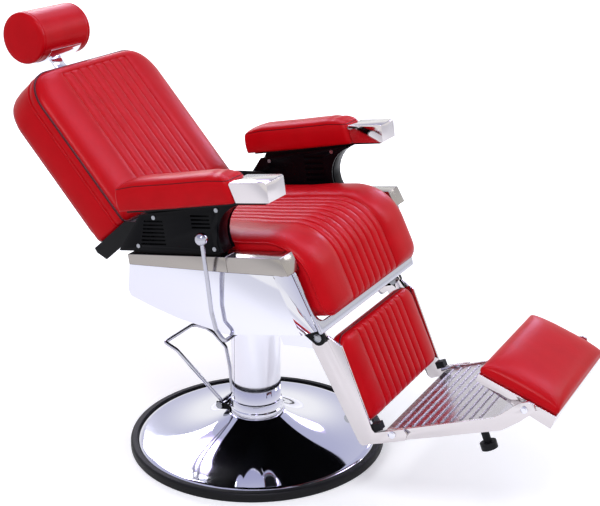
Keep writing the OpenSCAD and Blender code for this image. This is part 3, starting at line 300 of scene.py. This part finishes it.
def skin(name, grids, finish, body, slot, *stands_for):
    """One smooth piece from grids of points.

    Each grid is (points [rows, columns, 3], rows closed, columns closed). Points closer than 0.01 mm are
    joined, so edges that meet and poles close, and the faces are then turned outward.
    """
    points, faces, start = [], [], 0
    for grid, round_rows, round_columns in grids:
        rows, columns = grid.shape[:2]
        points.append(grid.reshape(-1, 3))
        faces.append(quads(rows, columns, start, round_rows, round_columns))
        start += rows * columns
    mesh = bpy.data.meshes.new(name)
    mesh.from_pydata(np.concatenate(points).tolist(), [], np.concatenate(faces).tolist())
    shape = bmesh.new()
    shape.from_mesh(mesh)
    bmesh.ops.remove_doubles(shape, verts=shape.verts, dist=1e-5)
    bmesh.ops.recalc_face_normals(shape, faces=shape.faces)
    shape.to_mesh(mesh)
    shape.free()
    mesh.polygons.foreach_set("use_smooth", np.ones(len(mesh.polygons), bool))
    made = bpy.data.objects.new(name, mesh)
    made.data.materials.append(finish)
    bpy.context.scene.collection.objects.link(made)
    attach(made, body)
    if stands_for:
        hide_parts(*stands_for)
    return made


def spun(profile, turns=144, axis="z", centre=(0, 0, 0)):
    """Grid of a profile of (radius, height) points turned about an axis: radius * (cos a, sin a) + centre."""
    radius, height = np.asarray(profile, float).T
    a = np.linspace(0, 2 * np.pi, turns, endpoint=False)
    ring = [np.outer(radius, np.cos(a)), np.outer(radius, np.sin(a)), np.outer(height, np.ones(turns))]
    order = {"z": (0, 1, 2), "x": (2, 0, 1)}[axis]
    return np.stack([ring[i] for i in order], -1) + np.asarray(centre, float), False, True


def rounded(corners, radii, steps=6):
    """Profile whose inner corners p are eased into bends of about radius r.

    Each bend is the curve (1 - t)^2 a + 2 t (1 - t) p + t^2 b between points a and b at r / tan(half angle).
    """
    corners = np.asarray(corners, float)
    out = [corners[0]]
    for before, p, after, r in zip(corners[:-2], corners[1:-1], corners[2:], radii):
        a, b = (before - p) / np.linalg.norm(before - p), (after - p) / np.linalg.norm(after - p)
        half = math.acos(np.clip(a @ b, -1, 1)) / 2
        reach = min(r / math.tan(half), 0.49 * np.linalg.norm(before - p), 0.49 * np.linalg.norm(after - p))
        t = np.linspace(0, 1, steps + 1)[:, None]
        start, end = p + a * reach, p + b * reach
        out.extend((1 - t) ** 2 * start + 2 * t * (1 - t) * p + t ** 2 * end)
    return np.array(out + [corners[-1]])


neck_r, neck_z, dome_edge, rim_r, rim_z, hole_r = 0.070, 0.085, 0.294, 0.312, 0.022, 0.058
flare = np.linspace(0, 1, 60)
fall_r = neck_r + 0.0015 + (dome_edge - neck_r - 0.0015) * flare
fall_z = rim_z + (neck_z - rim_z) * (1 - flare) ** 2.3
outside = np.column_stack([fall_r, fall_z])
sheet = 0.0025
dome_profile = np.concatenate([[(hole_r, neck_z), (neck_r - 0.004, neck_z)], outside,
                               [(rim_r, rim_z), (rim_r, rim_z - sheet)], (outside - (0, sheet))[::-1],
                               [(hole_r, neck_z - sheet), (hole_r, neck_z)]])
skin("spun_dome", [spun(dome_profile, 192)], chrome, "base", "chrome", "base_dome")

ring_profile = rounded([(0.296, 0), (0.330, 0), (0.330, 0.024), (0.3123, 0.024), (0.3123, 0.0195),
                        (0.296, 0.0195), (0.296, 0)], [0.004, 0.009, 0.001, 0.0002, 0.001])
skin("rubber_floor_ring", [spun(ring_profile, 192)], rubber, "base", "black_rubber", "floor_ring")
clad(cast_iron, "base_plate", "swivel_housing")

# ---------------------------------------------------------------------------
# Pump: the cylinder, its nut and the ram are inside; outside are a turned and
# plated collar, and the sleeve that slides over it with the seat.
steel, tree, shader = material("turned and ground steel", "#A3A5AA", Metallic=1.0, Roughness=0.28)
mottle(tree, shader, 0.2, 0.36, 0.004, "Roughness", stretch=(1, 1, 8))
clad(steel, "pump_cylinder", "gland_nut", "pedal_shaft", "thrust_bearing", "hinge_pins",
     "bracket_bolts", "back_tube", "post_guide", "leg_tubes", "brake_cam")
clad(chrome, "ram", "link_bar", "fold_bolts", "pad_bolts", "brake_quadrant")

collar_profile = rounded([(0.0452, neck_z), (0.070, neck_z), (0.070, 0.098), (0.0665, 0.1015),
                          (0.0665, 0.1205), (0.0640, 0.1220), (0.0452, 0.1220), (0.0452, neck_z)],
                         [0.0015, 0.003, 0.003, 0.0015, 0.001, 0.0002])
skin("turned_collar", [spun(collar_profile)], chrome, "base", "chrome", "pump_collar")
sleeve_profile = rounded([(0.060, 0.1223), (0.063, 0.1223), (0.063, 0.425), (0.022, 0.425), (0.022, 0.419),
                          (0.060, 0.419), (0.060, 0.1223)], [0.0008, 0.002, 0.0005, 0.0005, 0.0005])
skin("plated_sleeve", [spun(sleeve_profile)], chrome, "column", "chrome", "column_sleeve")

# ---------------------------------------------------------------------------
# Pump pedal: 10 mm round bar bent cold and plated, welded to a bush that turns
# on the shaft of the cast bracket.
black_gloss, tree, shader = material("gloss black stoving enamel on pressed steel", "#06060A", Roughness=0.22,
                                     Specular_IOR_Level=0.09)
relief(tree, shader, mottle(tree, shader, "#040407", "#08080C", 0.012), 0.00006)


def smooth_path(points, radius):
    """A bent bar's centre line: straight runs joined by bends of one radius, resampled about every 3 mm."""
    bent = rounded(points, [radius] * (len(points) - 2), 10)
    length = np.concatenate([[0], np.cumsum(np.linalg.norm(np.diff(bent, axis=0), axis=1))])
    count = int(length[-1] / 0.003)
    at = np.linspace(0, length[-1], count + 1)
    return np.column_stack([np.interp(at, length, bent[:, k]) for k in range(3)])


def round_bar(path, radius, sides=20, closed=False):
    """Tube round a path: centre + radius * (normal cos a + side sin a), with a normal that doesn't twist.

    An open bar ends in two shrinking rings, so that its ends are closed and slightly rounded.
    """
    path = np.asarray(path, float)
    if closed:
        along = np.roll(path, -1, 0) - np.roll(path, 1, 0)
    else:
        along = np.gradient(path, axis=0)
    along /= np.linalg.norm(along, axis=1)[:, None]
    normal = np.cross(along[0], (0.31, 0.17, 0.93))
    normals = []
    for direction in along:
        normal = normal - direction * (normal @ direction)
        normal = normal / np.linalg.norm(normal)
        normals.append(normal)
    normals = np.array(normals)
    if closed:
        twist = math.atan2(np.cross(normals[-1], normals[0]) @ along[0], normals[-1] @ normals[0])
        turn = np.linspace(0, twist, len(path))[:, None]
        normals = normals * np.cos(turn) + np.cross(along, normals) * np.sin(turn)
    sides_of = np.cross(along, normals)
    a = np.linspace(0, 2 * np.pi, sides, endpoint=False)
    reach = np.full(len(path), radius)
    if not closed:
        path = np.concatenate([[path[0]], [path[0]], path, [path[-1]], [path[-1]]])
        normals = np.concatenate([normals[:1], normals[:1], normals, normals[-1:], normals[-1:]])
        sides_of = np.concatenate([sides_of[:1], sides_of[:1], sides_of, sides_of[-1:], sides_of[-1:]])
        reach = np.concatenate([[0, radius * 0.9], reach, [radius * 0.9, 0]])
    ring = normals[:, None] * np.cos(a)[None, :, None] + sides_of[:, None] * np.sin(a)[None, :, None]
    return path[:, None] + ring * reach[:, None, None], closed, True


pedal_pivot = (0, 0.088, 0.092)
near_arm = [(-0.024, 0.088, 0.092), (-0.067, 0.198, 0.236), (-0.067, 0.225, 0.247), (-0.067, 0.234, 0.251)]
far_arm = [(0.024, 0.088, 0.092), (0.045, 0.108, 0.160), (0.060, 0.128, 0.209), (0.067, 0.169, 0.238),
           (0.067, 0.191, 0.248), (0.067, 0.234, 0.251)]
pedal_loop = smooth_path(near_arm + far_arm[::-1], 0.014)
bush = spun(rounded([(0.00605, -0.036), (0.010, -0.036), (0.010, 0.036), (0.00605, 0.036), (0.00605, -0.036)],
                    [0.001, 0.001, 0.0002]), 40, "x", pedal_pivot)
skin("bent_pedal", [round_bar(pedal_loop, 0.005), bush], bar_chrome, "pedal", "chrome", "pump_pedal")


def rolled(name, new_name, width, finish, body):
    """A sheet or plate node with its corners rolled to a small radius.

    The copy's doubled corners are joined and its flat triangles merged before the bevel.
    """
    mesh = node[name].data.copy()
    shape = bmesh.new()
    shape.from_mesh(mesh)
    bmesh.ops.remove_doubles(shape, verts=shape.verts, dist=2e-6)
    bmesh.ops.dissolve_limit(shape, angle_limit=math.radians(0.4), verts=shape.verts, edges=shape.edges)
    shape.to_mesh(mesh)
    shape.free()
    mesh.polygons.foreach_set("use_smooth", np.ones(len(mesh.polygons), bool))
    mesh.materials.clear()
    mesh.materials.append(finish)
    made = bpy.data.objects.new(new_name, mesh)
    bpy.context.scene.collection.objects.link(made)
    bevel = made.modifiers.new("rolled edge", "BEVEL")
    bevel.width, bevel.segments = width, 2
    bevel.limit_method, bevel.angle_limit = "ANGLE", math.radians(24)
    bevel.harden_normals = True
    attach(made, body)
    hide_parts(name)


clad(black_gloss, "pedal_bracket")

# ---------------------------------------------------------------------------
# Seat structure: a welded tube and plate sub-frame under the board, painted
# black, with plated side rails and shells screwed to its outriggers.
black_paint, tree, shader = material("satin black paint on welded steel", "#0A0A0C", Roughness=0.45,
                                     Specular_IOR_Level=0.18)
relief(tree, shader, mottle(tree, shader, "#08080A", "#0D0D10", 0.006), 0.0001)
clad(black_paint, "seat_mount", "seat_frame", "arm_frames", "hinge_plates", "recline_brackets",
     "recline_pins")

ply, tree, shader = material("birch plywood, raw face", "#B98F5E", Roughness=0.7)
mottle(tree, shader, "#A87E50", "#C9A273", 0.004, stretch=(1, 0.05, 1))
clad(ply, "back_frame")

# The boards that show from below are near black; the grain stays faintly visible.
near_black_ply, tree, shader = material("birch plywood, near black", "#121214", Roughness=0.6,
                                     Specular_IOR_Level=0.2)
mottle(tree, shader, "#0C0C0E", "#19191B", 0.004, stretch=(1, 0.05, 1))
clad(near_black_ply, "seat_board", "calf_board")

for side in ("left", "right"):
    rolled("side_rail_" + side, "folded_rail_" + side, 0.0012, stainless, "seat")
    rolled("side_shell_" + side, "folded_shell_" + side, 0.0012, chrome, "seat")
rolled("rail_caps", "folded_rail_caps", 0.0012, stainless, "seat")
rolled("front_trim", "bent_front_trim", 0.0015, bar_chrome, "seat")


# ---------------------------------------------------------------------------
# Seat cushion: foam on the board under red upholstery vinyl. Eight channels are
# sewn from back to front and roll over the knee between two plain borders; a
# boxing strip closes the sides below the shoulder seam.
def tilted(points, angle, origin):
    """Points of a part's own frame, turned by angle about X and moved to its origin."""
    c, s = math.cos(math.radians(angle)), math.sin(math.radians(angle))
    x, y, z = points[..., 0], points[..., 1], points[..., 2]
    return np.stack([x + origin[0], c * y - s * z + origin[1], s * y + c * z + origin[2]], -1)


def on_deck(points):
    """Seat frame: 7.7 degrees back, 605 mm up."""
    return tilted(points, -7.7, (0, 0, 0.605))


# Glossy upholstery vinyl (plasticised PVC on knit): pebbled grain of about
# 1 mm, drawn at 2.2 mm; broad soft highlights from its calendered top.
vinyl, tree, shader = material("red upholstery vinyl, pebble grain", "#BE0814", Roughness=0.33,
                               Specular_IOR_Level=0.09)
mottle(tree, shader, "#B40610", "#C80A18", 0.05)
place = add(tree, "TexCoord").outputs["Object"]
pebbles = add(tree, "TexVoronoi", {"Vector": place, "Scale": 1 / 0.0022}, feature="SMOOTH_F1")
creases = add(tree, "TexNoise", {"Vector": place, "Scale": 1 / 0.02, "Detail": 4.0, "Distortion": 0.6})
height = add(tree, "Math", {0: creases.outputs[0], 1: 4.0, 2: pebbles.outputs["Distance"]},
             operation="MULTIPLY_ADD")
relief(tree, shader, height.outputs[0], 0.00012, 0.6)

# The welt: the same vinyl wrapped tightly round a cord, coloured darker as painted shade of the seam it lies
# in.
seam_shade_vinyl, tree, shader = material("red vinyl welt, wrapped on cord", "#4A0610", Roughness=0.4,
                                    Specular_IOR_Level=0.2)
relief(tree, shader, mottle(tree, shader, "#3C040C", "#5A0814", 0.004), 0.0001)


def ease(count):
    """Steps from 0 to 1 that bunch at both ends: (1 - cos(pi t)) / 2."""
    return (1 - np.cos(np.linspace(0, np.pi, count + 1))) / 2


def channel_columns(half, count, pitch, per_channel=12, per_bolster=14):
    """Cross positions: each channel's points bunch at its two seams, each bolster's at its ends."""
    core = count * pitch / 2
    inner = np.concatenate([(-core + pitch * (k + ease(per_channel)[:-1])) for k in range(count)] + [[core]])
    bolster = core + (half - core) * ease(per_bolster)[1:]
    return np.concatenate([-bolster[::-1], inner, bolster])


def stuffing(x, half, count, pitch, channel, border):
    """Height of the sewn cover over its seam lines.

    Across a channel it is channel * sqrt(1 - |2f - 1| ^ 2.4), f running from seam to seam. Across a plain
    border it is border * sqrt(1 - |2u - 1| ^ 3), u running from the outer seam line to the side.
    """
    core = count * pitch / 2
    f = (x / pitch + count / 2) % 1.0
    u = np.clip((np.abs(x) - core) / (half - core), 0, 1)
    return np.where(np.abs(x) < core, channel * np.sqrt(np.clip(1 - np.abs(2 * f - 1) ** 2.4, 0, 1)),
                    border * np.sqrt(np.clip(1 - np.abs(2 * u - 1) ** 3, 0, 1)))


def stuffed(columns, rows, corners, place, boxing, roll):
    """Grids of a boxed cushion: a crowned face, boxing loops round its rim and the flat side on the board.

    corners are the corner radii at the start and end of the length and the half width of the sewn core,
    beyond which the face is squeezed so that those corners are quarter circles. boxing lists (depth, push).
    The crown is sqrt(1 - |x / edge| ^ roll0) * sqrt(1 - |2 t / length - 1| ^ roll1). Also returns the rim's
    x and t and its outward direction.
    """
    half, length, (low, high, core) = columns[-1], rows[-1], corners
    x, t = np.meshgrid(columns, rows)
    cut = (low - np.sqrt(low ** 2 - np.clip(low - t, 0, low) ** 2)
           + high - np.sqrt(high ** 2 - np.clip(t - length + high, 0, high) ** 2))
    edge = half - cut
    squeezed = core + (np.abs(x) - core) * (edge - core) / (half - core)
    x = np.sign(x) * np.where(np.abs(x) > core, squeezed, np.abs(x))
    full = (np.sqrt(np.clip(1 - np.abs(x / edge) ** roll[0], 0, 1))
            * np.sqrt(np.clip(1 - np.abs(2 * t / length - 1) ** roll[1], 0, 1)))

    def rim(g):
        return np.concatenate([g[0, :-1], g[:-1, -1], g[-1, :0:-1], g[:0:-1, 0]])

    rx, rt = rim(x), rim(t)
    dx, dt = np.roll(rx, -1) - np.roll(rx, 1), np.roll(rt, -1) - np.roll(rt, 1)
    size = np.hypot(dx, dt) + 1e-12
    out_x, out_t = dt / size, -dx / size
    loops = np.stack([place(rx + out_x * push, rt + out_t * push, depth, 0 * rx) for depth, push in boxing])
    return [(place(x, t, 0.0, full), False, False), (loops, False, True),
            (place(x, t, 1.0, 0 * full)[:, ::-1], False, False)], (rx, rt, out_x, out_t)


def bent_path(points, extra):
    """Path with both ends drawn out by extra; returns length along it, points and left-hand normals."""
    points = np.asarray(points, float)
    first, last = points[0] - points[1], points[-1] - points[-2]
    points = np.concatenate([[points[0] + first / np.linalg.norm(first) * extra], points,
                             [points[-1] + last / np.linalg.norm(last) * extra]])
    length = np.concatenate([[0], np.cumsum(np.linalg.norm(np.diff(points, axis=0), axis=1))]) - extra
    along = np.gradient(points, length, axis=0)
    along /= np.linalg.norm(along, axis=1)[:, None]
    return length, points, np.column_stack([-along[:, 1], along[:, 0]])


seat_half, seat_count, seat_pitch = 0.250, 8, 0.0295
knee_r, lean = 0.110, math.radians(17.5)
seam_back, seam_knee, seam_foot, seam_w = 0.162, -0.178, -0.158, 0.015
knee = np.linspace(0, math.pi / 2 - lean, 30)
top_run = np.column_stack([np.linspace(seam_back, seam_knee, 40)[:-1], np.full(39, seam_w)])
knee_run = np.column_stack([seam_knee - knee_r * np.sin(knee), seam_w - knee_r + knee_r * np.cos(knee)])
front_w = np.linspace(knee_run[-1, 1], seam_foot, 12)[1:]
front_run = np.column_stack([knee_run[-1, 0] - (knee_run[-1, 1] - front_w) * math.tan(lean), front_w])
seat_seam = np.concatenate([top_run, knee_run, front_run])
overhang, knee_s = 0.02, 0.340
seat_s, seat_p, seat_n = bent_path(seat_seam, overhang)
seat_length = seat_s[-1] - overhang


def seat_place(x, t, depth, full):
    """Seat cushion: the side seam's path, pushed out by the stuffing, or led down to the board by depth.

    Between the arms it is 7 percent narrower than in front of them.
    """
    p = np.stack([np.interp(t, seat_s, seat_p[:, k]) for k in (0, 1)], -1)
    n = -np.stack([np.interp(t, seat_s, seat_n[:, k]) for k in (0, 1)], -1)
    n /= np.linalg.norm(n, axis=-1)[..., None]
    board_v = np.interp(t, [-overhang, 0, knee_s, seat_length - 0.05, seat_length],
                        [0.168, 0.164, -0.20, -0.2563, -0.2563])
    board_w = np.interp(t, [seat_length - 0.12, seat_length, seat_length + overhang],
                        [-0.0514, -0.163, -0.165])
    push = full * (0.0055 + stuffing(x, seat_half, seat_count, seat_pitch, 0.0065, 0.0145))
    v = p[..., 0] + n[..., 0] * push
    w = p[..., 1] + n[..., 1] * push
    v, w = v + (board_v - v) * depth, w + (board_w - w) * depth
    narrow = np.interp(p[..., 0], [-0.110, -0.060], [1.0, 0.928])
    return on_deck(np.stack([x * narrow, v, w], -1))


seat_columns = channel_columns(seat_half - 0.0025, seat_count, seat_pitch)
seat_rows = np.unique(np.concatenate([np.linspace(0, seat_length, 170), 0.05 * ease(20),
                                      seat_length - 0.05 * ease(20)]))
seat_boxing = [(0.0, 0.0), (0.04, -0.0008), (0.10, 0.0012), (0.25, 0.0022), (0.6, 0.0018), (1.0, 0.0)]
seat_grids, (rx, rt, ox, ot) = stuffed(seat_columns, seat_rows, (0.02, 0.037, 0.125), seat_place,
                                       seat_boxing, (12, 26))
skin("seat_upholstery", seat_grids, vinyl, "seat", "red_vinyl", "seat_cushion")
seat_welt = seat_place(rx + ox * 0.0004, rt + ot * 0.0004, 0.0, 0 * rx)
skin("seat_welt", [round_bar(seat_welt, 0.0018, 10, closed=True)], vinyl, "seat", "red_vinyl")

# ---------------------------------------------------------------------------
# Arms: steel frames between an outer and an inner pressed cover, both louvred
# and enamelled black, held by round-head screws. A plated block closes the
# front of each arm, and a boxed vinyl pad lies on top.
rolled("arm_covers_outer", "outer_arm_covers", 0.0006, black_gloss, "seat")
rolled("arm_covers_inner", "inner_arm_covers", 0.0006, black_gloss, "seat")
rolled("arm_blocks", "plated_arm_blocks", 0.0008, plate_chrome_reflection_painted, "seat")
clad(steel, "cover_screws")

pad_half, pad_length, pad_rear, pad_centre = 0.0375, 0.303, 0.150, 0.2875


def pad_base(v):
    """Top of the arm frame: level at mid length, falling 8 mm to the rear and rising 13 mm to the front."""
    return 0.114 + np.where(v > 0.005, -0.008 * (v - 0.005) / 0.134, 0.013 * (0.005 - v) / 0.171)


def arm_place(side):
    """The arm pad's surface on one side: 1 for left, -1 for right."""
    def place(x, t, depth, full):
        """The seam's outline lies about 56 mm above the frame and is crowned by 14.5 mm.

        Small gathers ripple the crown near the front. The sides swell by 2.2 mm * 4 f (1 - f) * |x / half| ^ 6
        for a share f of the crown.
        """
        v = pad_rear - t
        slant = np.interp(t, [0, 0.02, 0.28, 0.305], [0.0, 0.0, 0.004, 0.012])
        top = np.interp(t, [0, 0.05, 0.25, 0.305], [0.052, 0.0565, 0.0555, 0.050])
        ripple = 0.0012 * full * np.sin(v * 210 + 40 * x) * np.exp(-((v + 0.135) / 0.03) ** 2)
        bulge = 4 * full * (1 - full) * (1 - depth)
        x = x + np.sign(x) * 0.0022 * bulge * np.abs(x / pad_half) ** 6
        w = pad_base(v) + top + 0.0145 * full - ripple
        base = pad_base(v) + 0.0003
        w = w + (base - w) * depth
        return on_deck(np.stack([side * (pad_centre + x), v - slant * depth, w], -1))
    return place


arm_boxing = [(0.0, 0.0), (0.03, 0.0020), (0.08, 0.0032), (0.3, 0.0044), (0.6, 0.0042), (0.9, 0.002),
              (1.0, 0.0)]
arm_columns = pad_half * 0.985 * (2 * ease(36) - 1)
arm_steps = np.unique(np.concatenate([np.linspace(0, 1, 110), 0.15 * ease(16), 1 - 0.15 * ease(16)]))
arm_rows = pad_length * arm_steps
for side, name in ((1, "left"), (-1, "right")):
    arm_grids, (rx, rt, ox, ot) = stuffed(arm_columns, arm_rows, (0.005, 0.014, 0.0), arm_place(side),
                                          arm_boxing, (3, 7))
    skin("arm_pad_" + name, arm_grids, vinyl, "seat", "red_vinyl", "armrest_pad_" + name)
    seam = arm_place(side)(rx + ox * 0.0004, rt + ot * 0.0004, 0.0, 0 * rx)
    # The seam cord is coloured darker than the pad: painted seam shade.
    skin("arm_seam_" + name, [round_bar(seam, 0.0009, 8, closed=True)], seam_shade_vinyl, "seat", "red_vinyl")


# ---------------------------------------------------------------------------
# Back: a plywood frame under a boxed cushion with eight sewn channels, a welt
# darkened with painted seam shade round its front seam and a second seam round
# the boxing; a vinyl-covered panel closes the rear.
def on_back(points):
    """Back frame: its front lower edge stands on the recline pivot, 41 degrees back."""
    c, s = math.cos(math.radians(-41)), math.sin(math.radians(-41))
    origin = (0, 0.119778 + c * 0.0526 - s * 0.0659, 0.625133 + s * 0.0526 + c * 0.0659)
    return tilted(points, -41, origin)


back_half, back_length, back_count, back_pitch = 0.241, 0.420, 8, 0.032
back_core, back_seam_n, back_rear_n = back_count * back_pitch / 2, 0.012, 0.112


def back_place(x, t, depth, full):
    """Back cushion: a flat seam outline, stuffed forward of the seam lines, boxed back to the panel.

    The channels stop at a cross seam 23 mm below the head, 3.4 mm * exp(-((t - t0) / 3 mm) ^ 2) deep.
    """
    head = np.clip((t - back_length + 0.026) / 0.006, 0, 1)
    seam = 0.0034 * np.exp(-((t - back_length + 0.023) / 0.0030) ** 2) * (np.abs(x) < back_core)
    cover = stuffing(x, back_half, back_count, back_pitch, 0.0060, 0.0085)
    front = back_seam_n - full * (0.0185 + cover + (np.maximum(cover, 0.0064) - cover) * head - seam)
    n = front + (back_rear_n - front) * depth
    return on_back(np.stack([x, n, t + 0.002], -1))


back_columns = channel_columns(back_half, back_count, back_pitch)
cross_seam_rows = back_length - np.linspace(0.014, 0.032, 19)
back_rows = np.unique(np.concatenate([np.linspace(0, back_length, 130), cross_seam_rows, 0.06 * ease(20),
                                      back_length - 0.06 * ease(20)]))
back_boxing = [(0.0, 0.0), (0.02, 0.0018), (0.045, 0.0034), (0.09, 0.0045), (0.15, 0.0042), (0.22, 0.0026),
               (0.25, 0.0020), (0.28, 0.0026), (0.42, 0.0045), (0.7, 0.005), (0.9, 0.0032), (1.0, 0.0)]
back_grids, (rx, rt, ox, ot) = stuffed(back_columns, back_rows, (0.012, 0.085, 0.132), back_place,
                                       back_boxing, (5, 18))
skin("back_upholstery", back_grids, vinyl, "back", "red_vinyl", "back_cushion")
back_welt = back_place(rx + ox * 0.0015, rt + ot * 0.0015, 0.0, 0 * rx)
skin("back_welt", [round_bar(back_welt, 0.0026, 10, closed=True)], seam_shade_vinyl, "back", "red_vinyl")
back_cord = back_place(rx + ox * 0.0032, rt + ot * 0.0032, 0.25, 0 * rx)
skin("back_boxing_cord", [round_bar(back_cord, 0.0022, 10, closed=True)], vinyl, "back", "red_vinyl")
clad(vinyl, "back_panel")

# ---------------------------------------------------------------------------
# Headrest: a flat plated post in its guide, a rolled saddle and a hard-filled
# roll with a seam round each end disc.
rolled("headrest_post", "plated_post", 0.001, chrome, "headrest")
rolled("headrest_saddle", "rolled_saddle", 0.0008, chrome, "headrest")
roll_r, roll_half, edge_r = 0.065, 0.097, 0.006
end = np.radians(np.linspace(0, 90, 8))
cap = np.column_stack([roll_r - edge_r + edge_r * np.cos(end), roll_half - edge_r + edge_r * np.sin(end)])
lid = np.linspace(roll_r - edge_r, 0, 14)[1:]
end_seam = [(roll_r, roll_half - 0.016), (roll_r + 0.0003, roll_half - 0.0125),
            (roll_r - 0.0022, roll_half - 0.0105), (roll_r + 0.0003, roll_half - 0.0085)]
end_disc = np.column_stack([lid, roll_half + 0.003 * np.sqrt(1 - (lid / roll_r) ** 2)])
half_profile = np.concatenate([[(roll_r, 0)], end_seam, cap, end_disc])
roll_profile = np.concatenate([(half_profile * (1, -1))[:0:-1], half_profile])
roll_centre = on_back(np.array([0.0, 0.056, 0.547]))
skin("headrest_upholstery", [spun(roll_profile, 128, "x", roll_centre)], vinyl, "headrest",
               "red_vinyl", "headrest_roll")


# ---------------------------------------------------------------------------
# Leg rest: plated L-shaped side plates on two cross tubes, with a board that
# carries the calf pad; eight channels are sewn down it.
def on_leg(points):
    """Leg rest frame: it hangs on its hinge, swung 24 degrees forward."""
    return tilted(points, -24, (0, -0.290829, 0.424338))


rolled("leg_arms", "plated_leg_arms", 0.0012, plate_chrome_reflection_painted, "leg")
clad(rubber, "stop_blocks", "bumpers")
calf_half, calf_length, calf_count, calf_pitch = 0.195, 0.206, 8, 0.0295
calf_seam_y, calf_board_y, calf_foot_z = -0.032, -0.0123, -0.224


def calf_place(x, t, depth, full):
    """Calf pad: a seam outline in front of the hinge line, stuffed forward, boxed back to the board."""
    y = calf_seam_y - full * (0.0145 + stuffing(x, calf_half, calf_count, calf_pitch, 0.0058, 0.0075))
    return on_leg(np.stack([x, y + (calf_board_y - y) * depth, t + calf_foot_z], -1))


calf_columns = channel_columns(calf_half, calf_count, calf_pitch, 12, 12)
calf_rows = np.unique(np.concatenate([np.linspace(0, calf_length, 66), 0.035 * ease(14),
                                      calf_length - 0.035 * ease(14)]))
calf_boxing = [(0.0, 0.0), (0.2, 0.001), (0.6, 0.001), (1.0, -0.001)]
calf_grids, (rx, rt, _, _) = stuffed(calf_columns, calf_rows, (0.013, 0.036, 0.122), calf_place, calf_boxing,
                                     (9, 14))
skin("calf_upholstery", calf_grids, vinyl, "leg", "red_vinyl", "calf_pad")
calf_welt = calf_place(rx, rt, 0.0, 0 * rx)
# The welt is coloured darker than the pad: painted seam shade.
skin("calf_welt", [round_bar(calf_welt, 0.002, 10, closed=True)], seam_shade_vinyl, "leg", "red_vinyl")

# ---------------------------------------------------------------------------
# Foot plate: two plated bars with a ribbed cast tread between them, two rubber
# bumpers, and a flip-over tray with its own pad.
tread, tree, shader = material("cast aluminium, polished", "#BDB9BE", Metallic=1.0, Roughness=0.24)
mottle(tree, shader, 0.18, 0.3, 0.01, "Roughness")
rolled("foot_bars", "plated_foot_bars", 0.0012, plate_chrome_reflection_painted, "foot")
clad(tread, "tread_plate")
rolled("pad_tray", "folded_pad_tray", 0.0012, plate_chrome_reflection_painted, "foot_pad")


def on_tray(points):
    """Foot pad frame: its pivot on the foot bars, turned up 43.3 degrees from the leg rest."""
    return on_leg(tilted(points, 43.3, (0, -0.413, -0.265)))


foot_half, foot_length, foot_rear, tray_w = 0.169, 0.186, 0.1235, 0.0093


def foot_place(x, t, depth, full):
    """Foot pad: a seam outline 14 mm above the tray, crowned by 25.5 mm."""
    w = tray_w + 0.014 + 0.0255 * full
    return on_tray(np.stack([x, foot_rear - t, w + (tray_w - w) * depth], -1))


foot_columns = foot_half * (2 * ease(60) - 1)
foot_rows = foot_length * ease(44)
foot_boxing = [(0.0, 0.0), (0.1, 0.0012), (0.3, 0.002), (0.7, 0.002), (1.0, 0.0)]
foot_grids, _ = stuffed(foot_columns, foot_rows, (0.007, 0.007, 0.0), foot_place, foot_boxing, (4.5, 3))
skin("foot_upholstery", foot_grids, vinyl, "foot_pad", "red_vinyl", "foot_pad")

# ---------------------------------------------------------------------------
# Recline lever: a plated bar on the sitter's right with a ball on its end; its
# shaft works the brake cam on the leg rest's quadrant.
lever_x, lever_y, lever_z = -0.335, -0.117820, 0.427687
lever_points = [(-0.118, 0, 0), (lever_x, 0, 0), (lever_x, 0.021, 0.024), (lever_x, 0.032, 0.066),
                (lever_x, 0.040, 0.141), (lever_x, 0.050, 0.222), (lever_x, 0.0505, 0.226)]
lever_line = smooth_path([(x, lever_y + y, lever_z + z) for x, y, z in lever_points], 0.012)
skin("bent_lever", [round_bar(lever_line, 0.005)], bar_chrome, "lever", "chrome", "lever_rod")
clad(bar_chrome, "lever_ball")
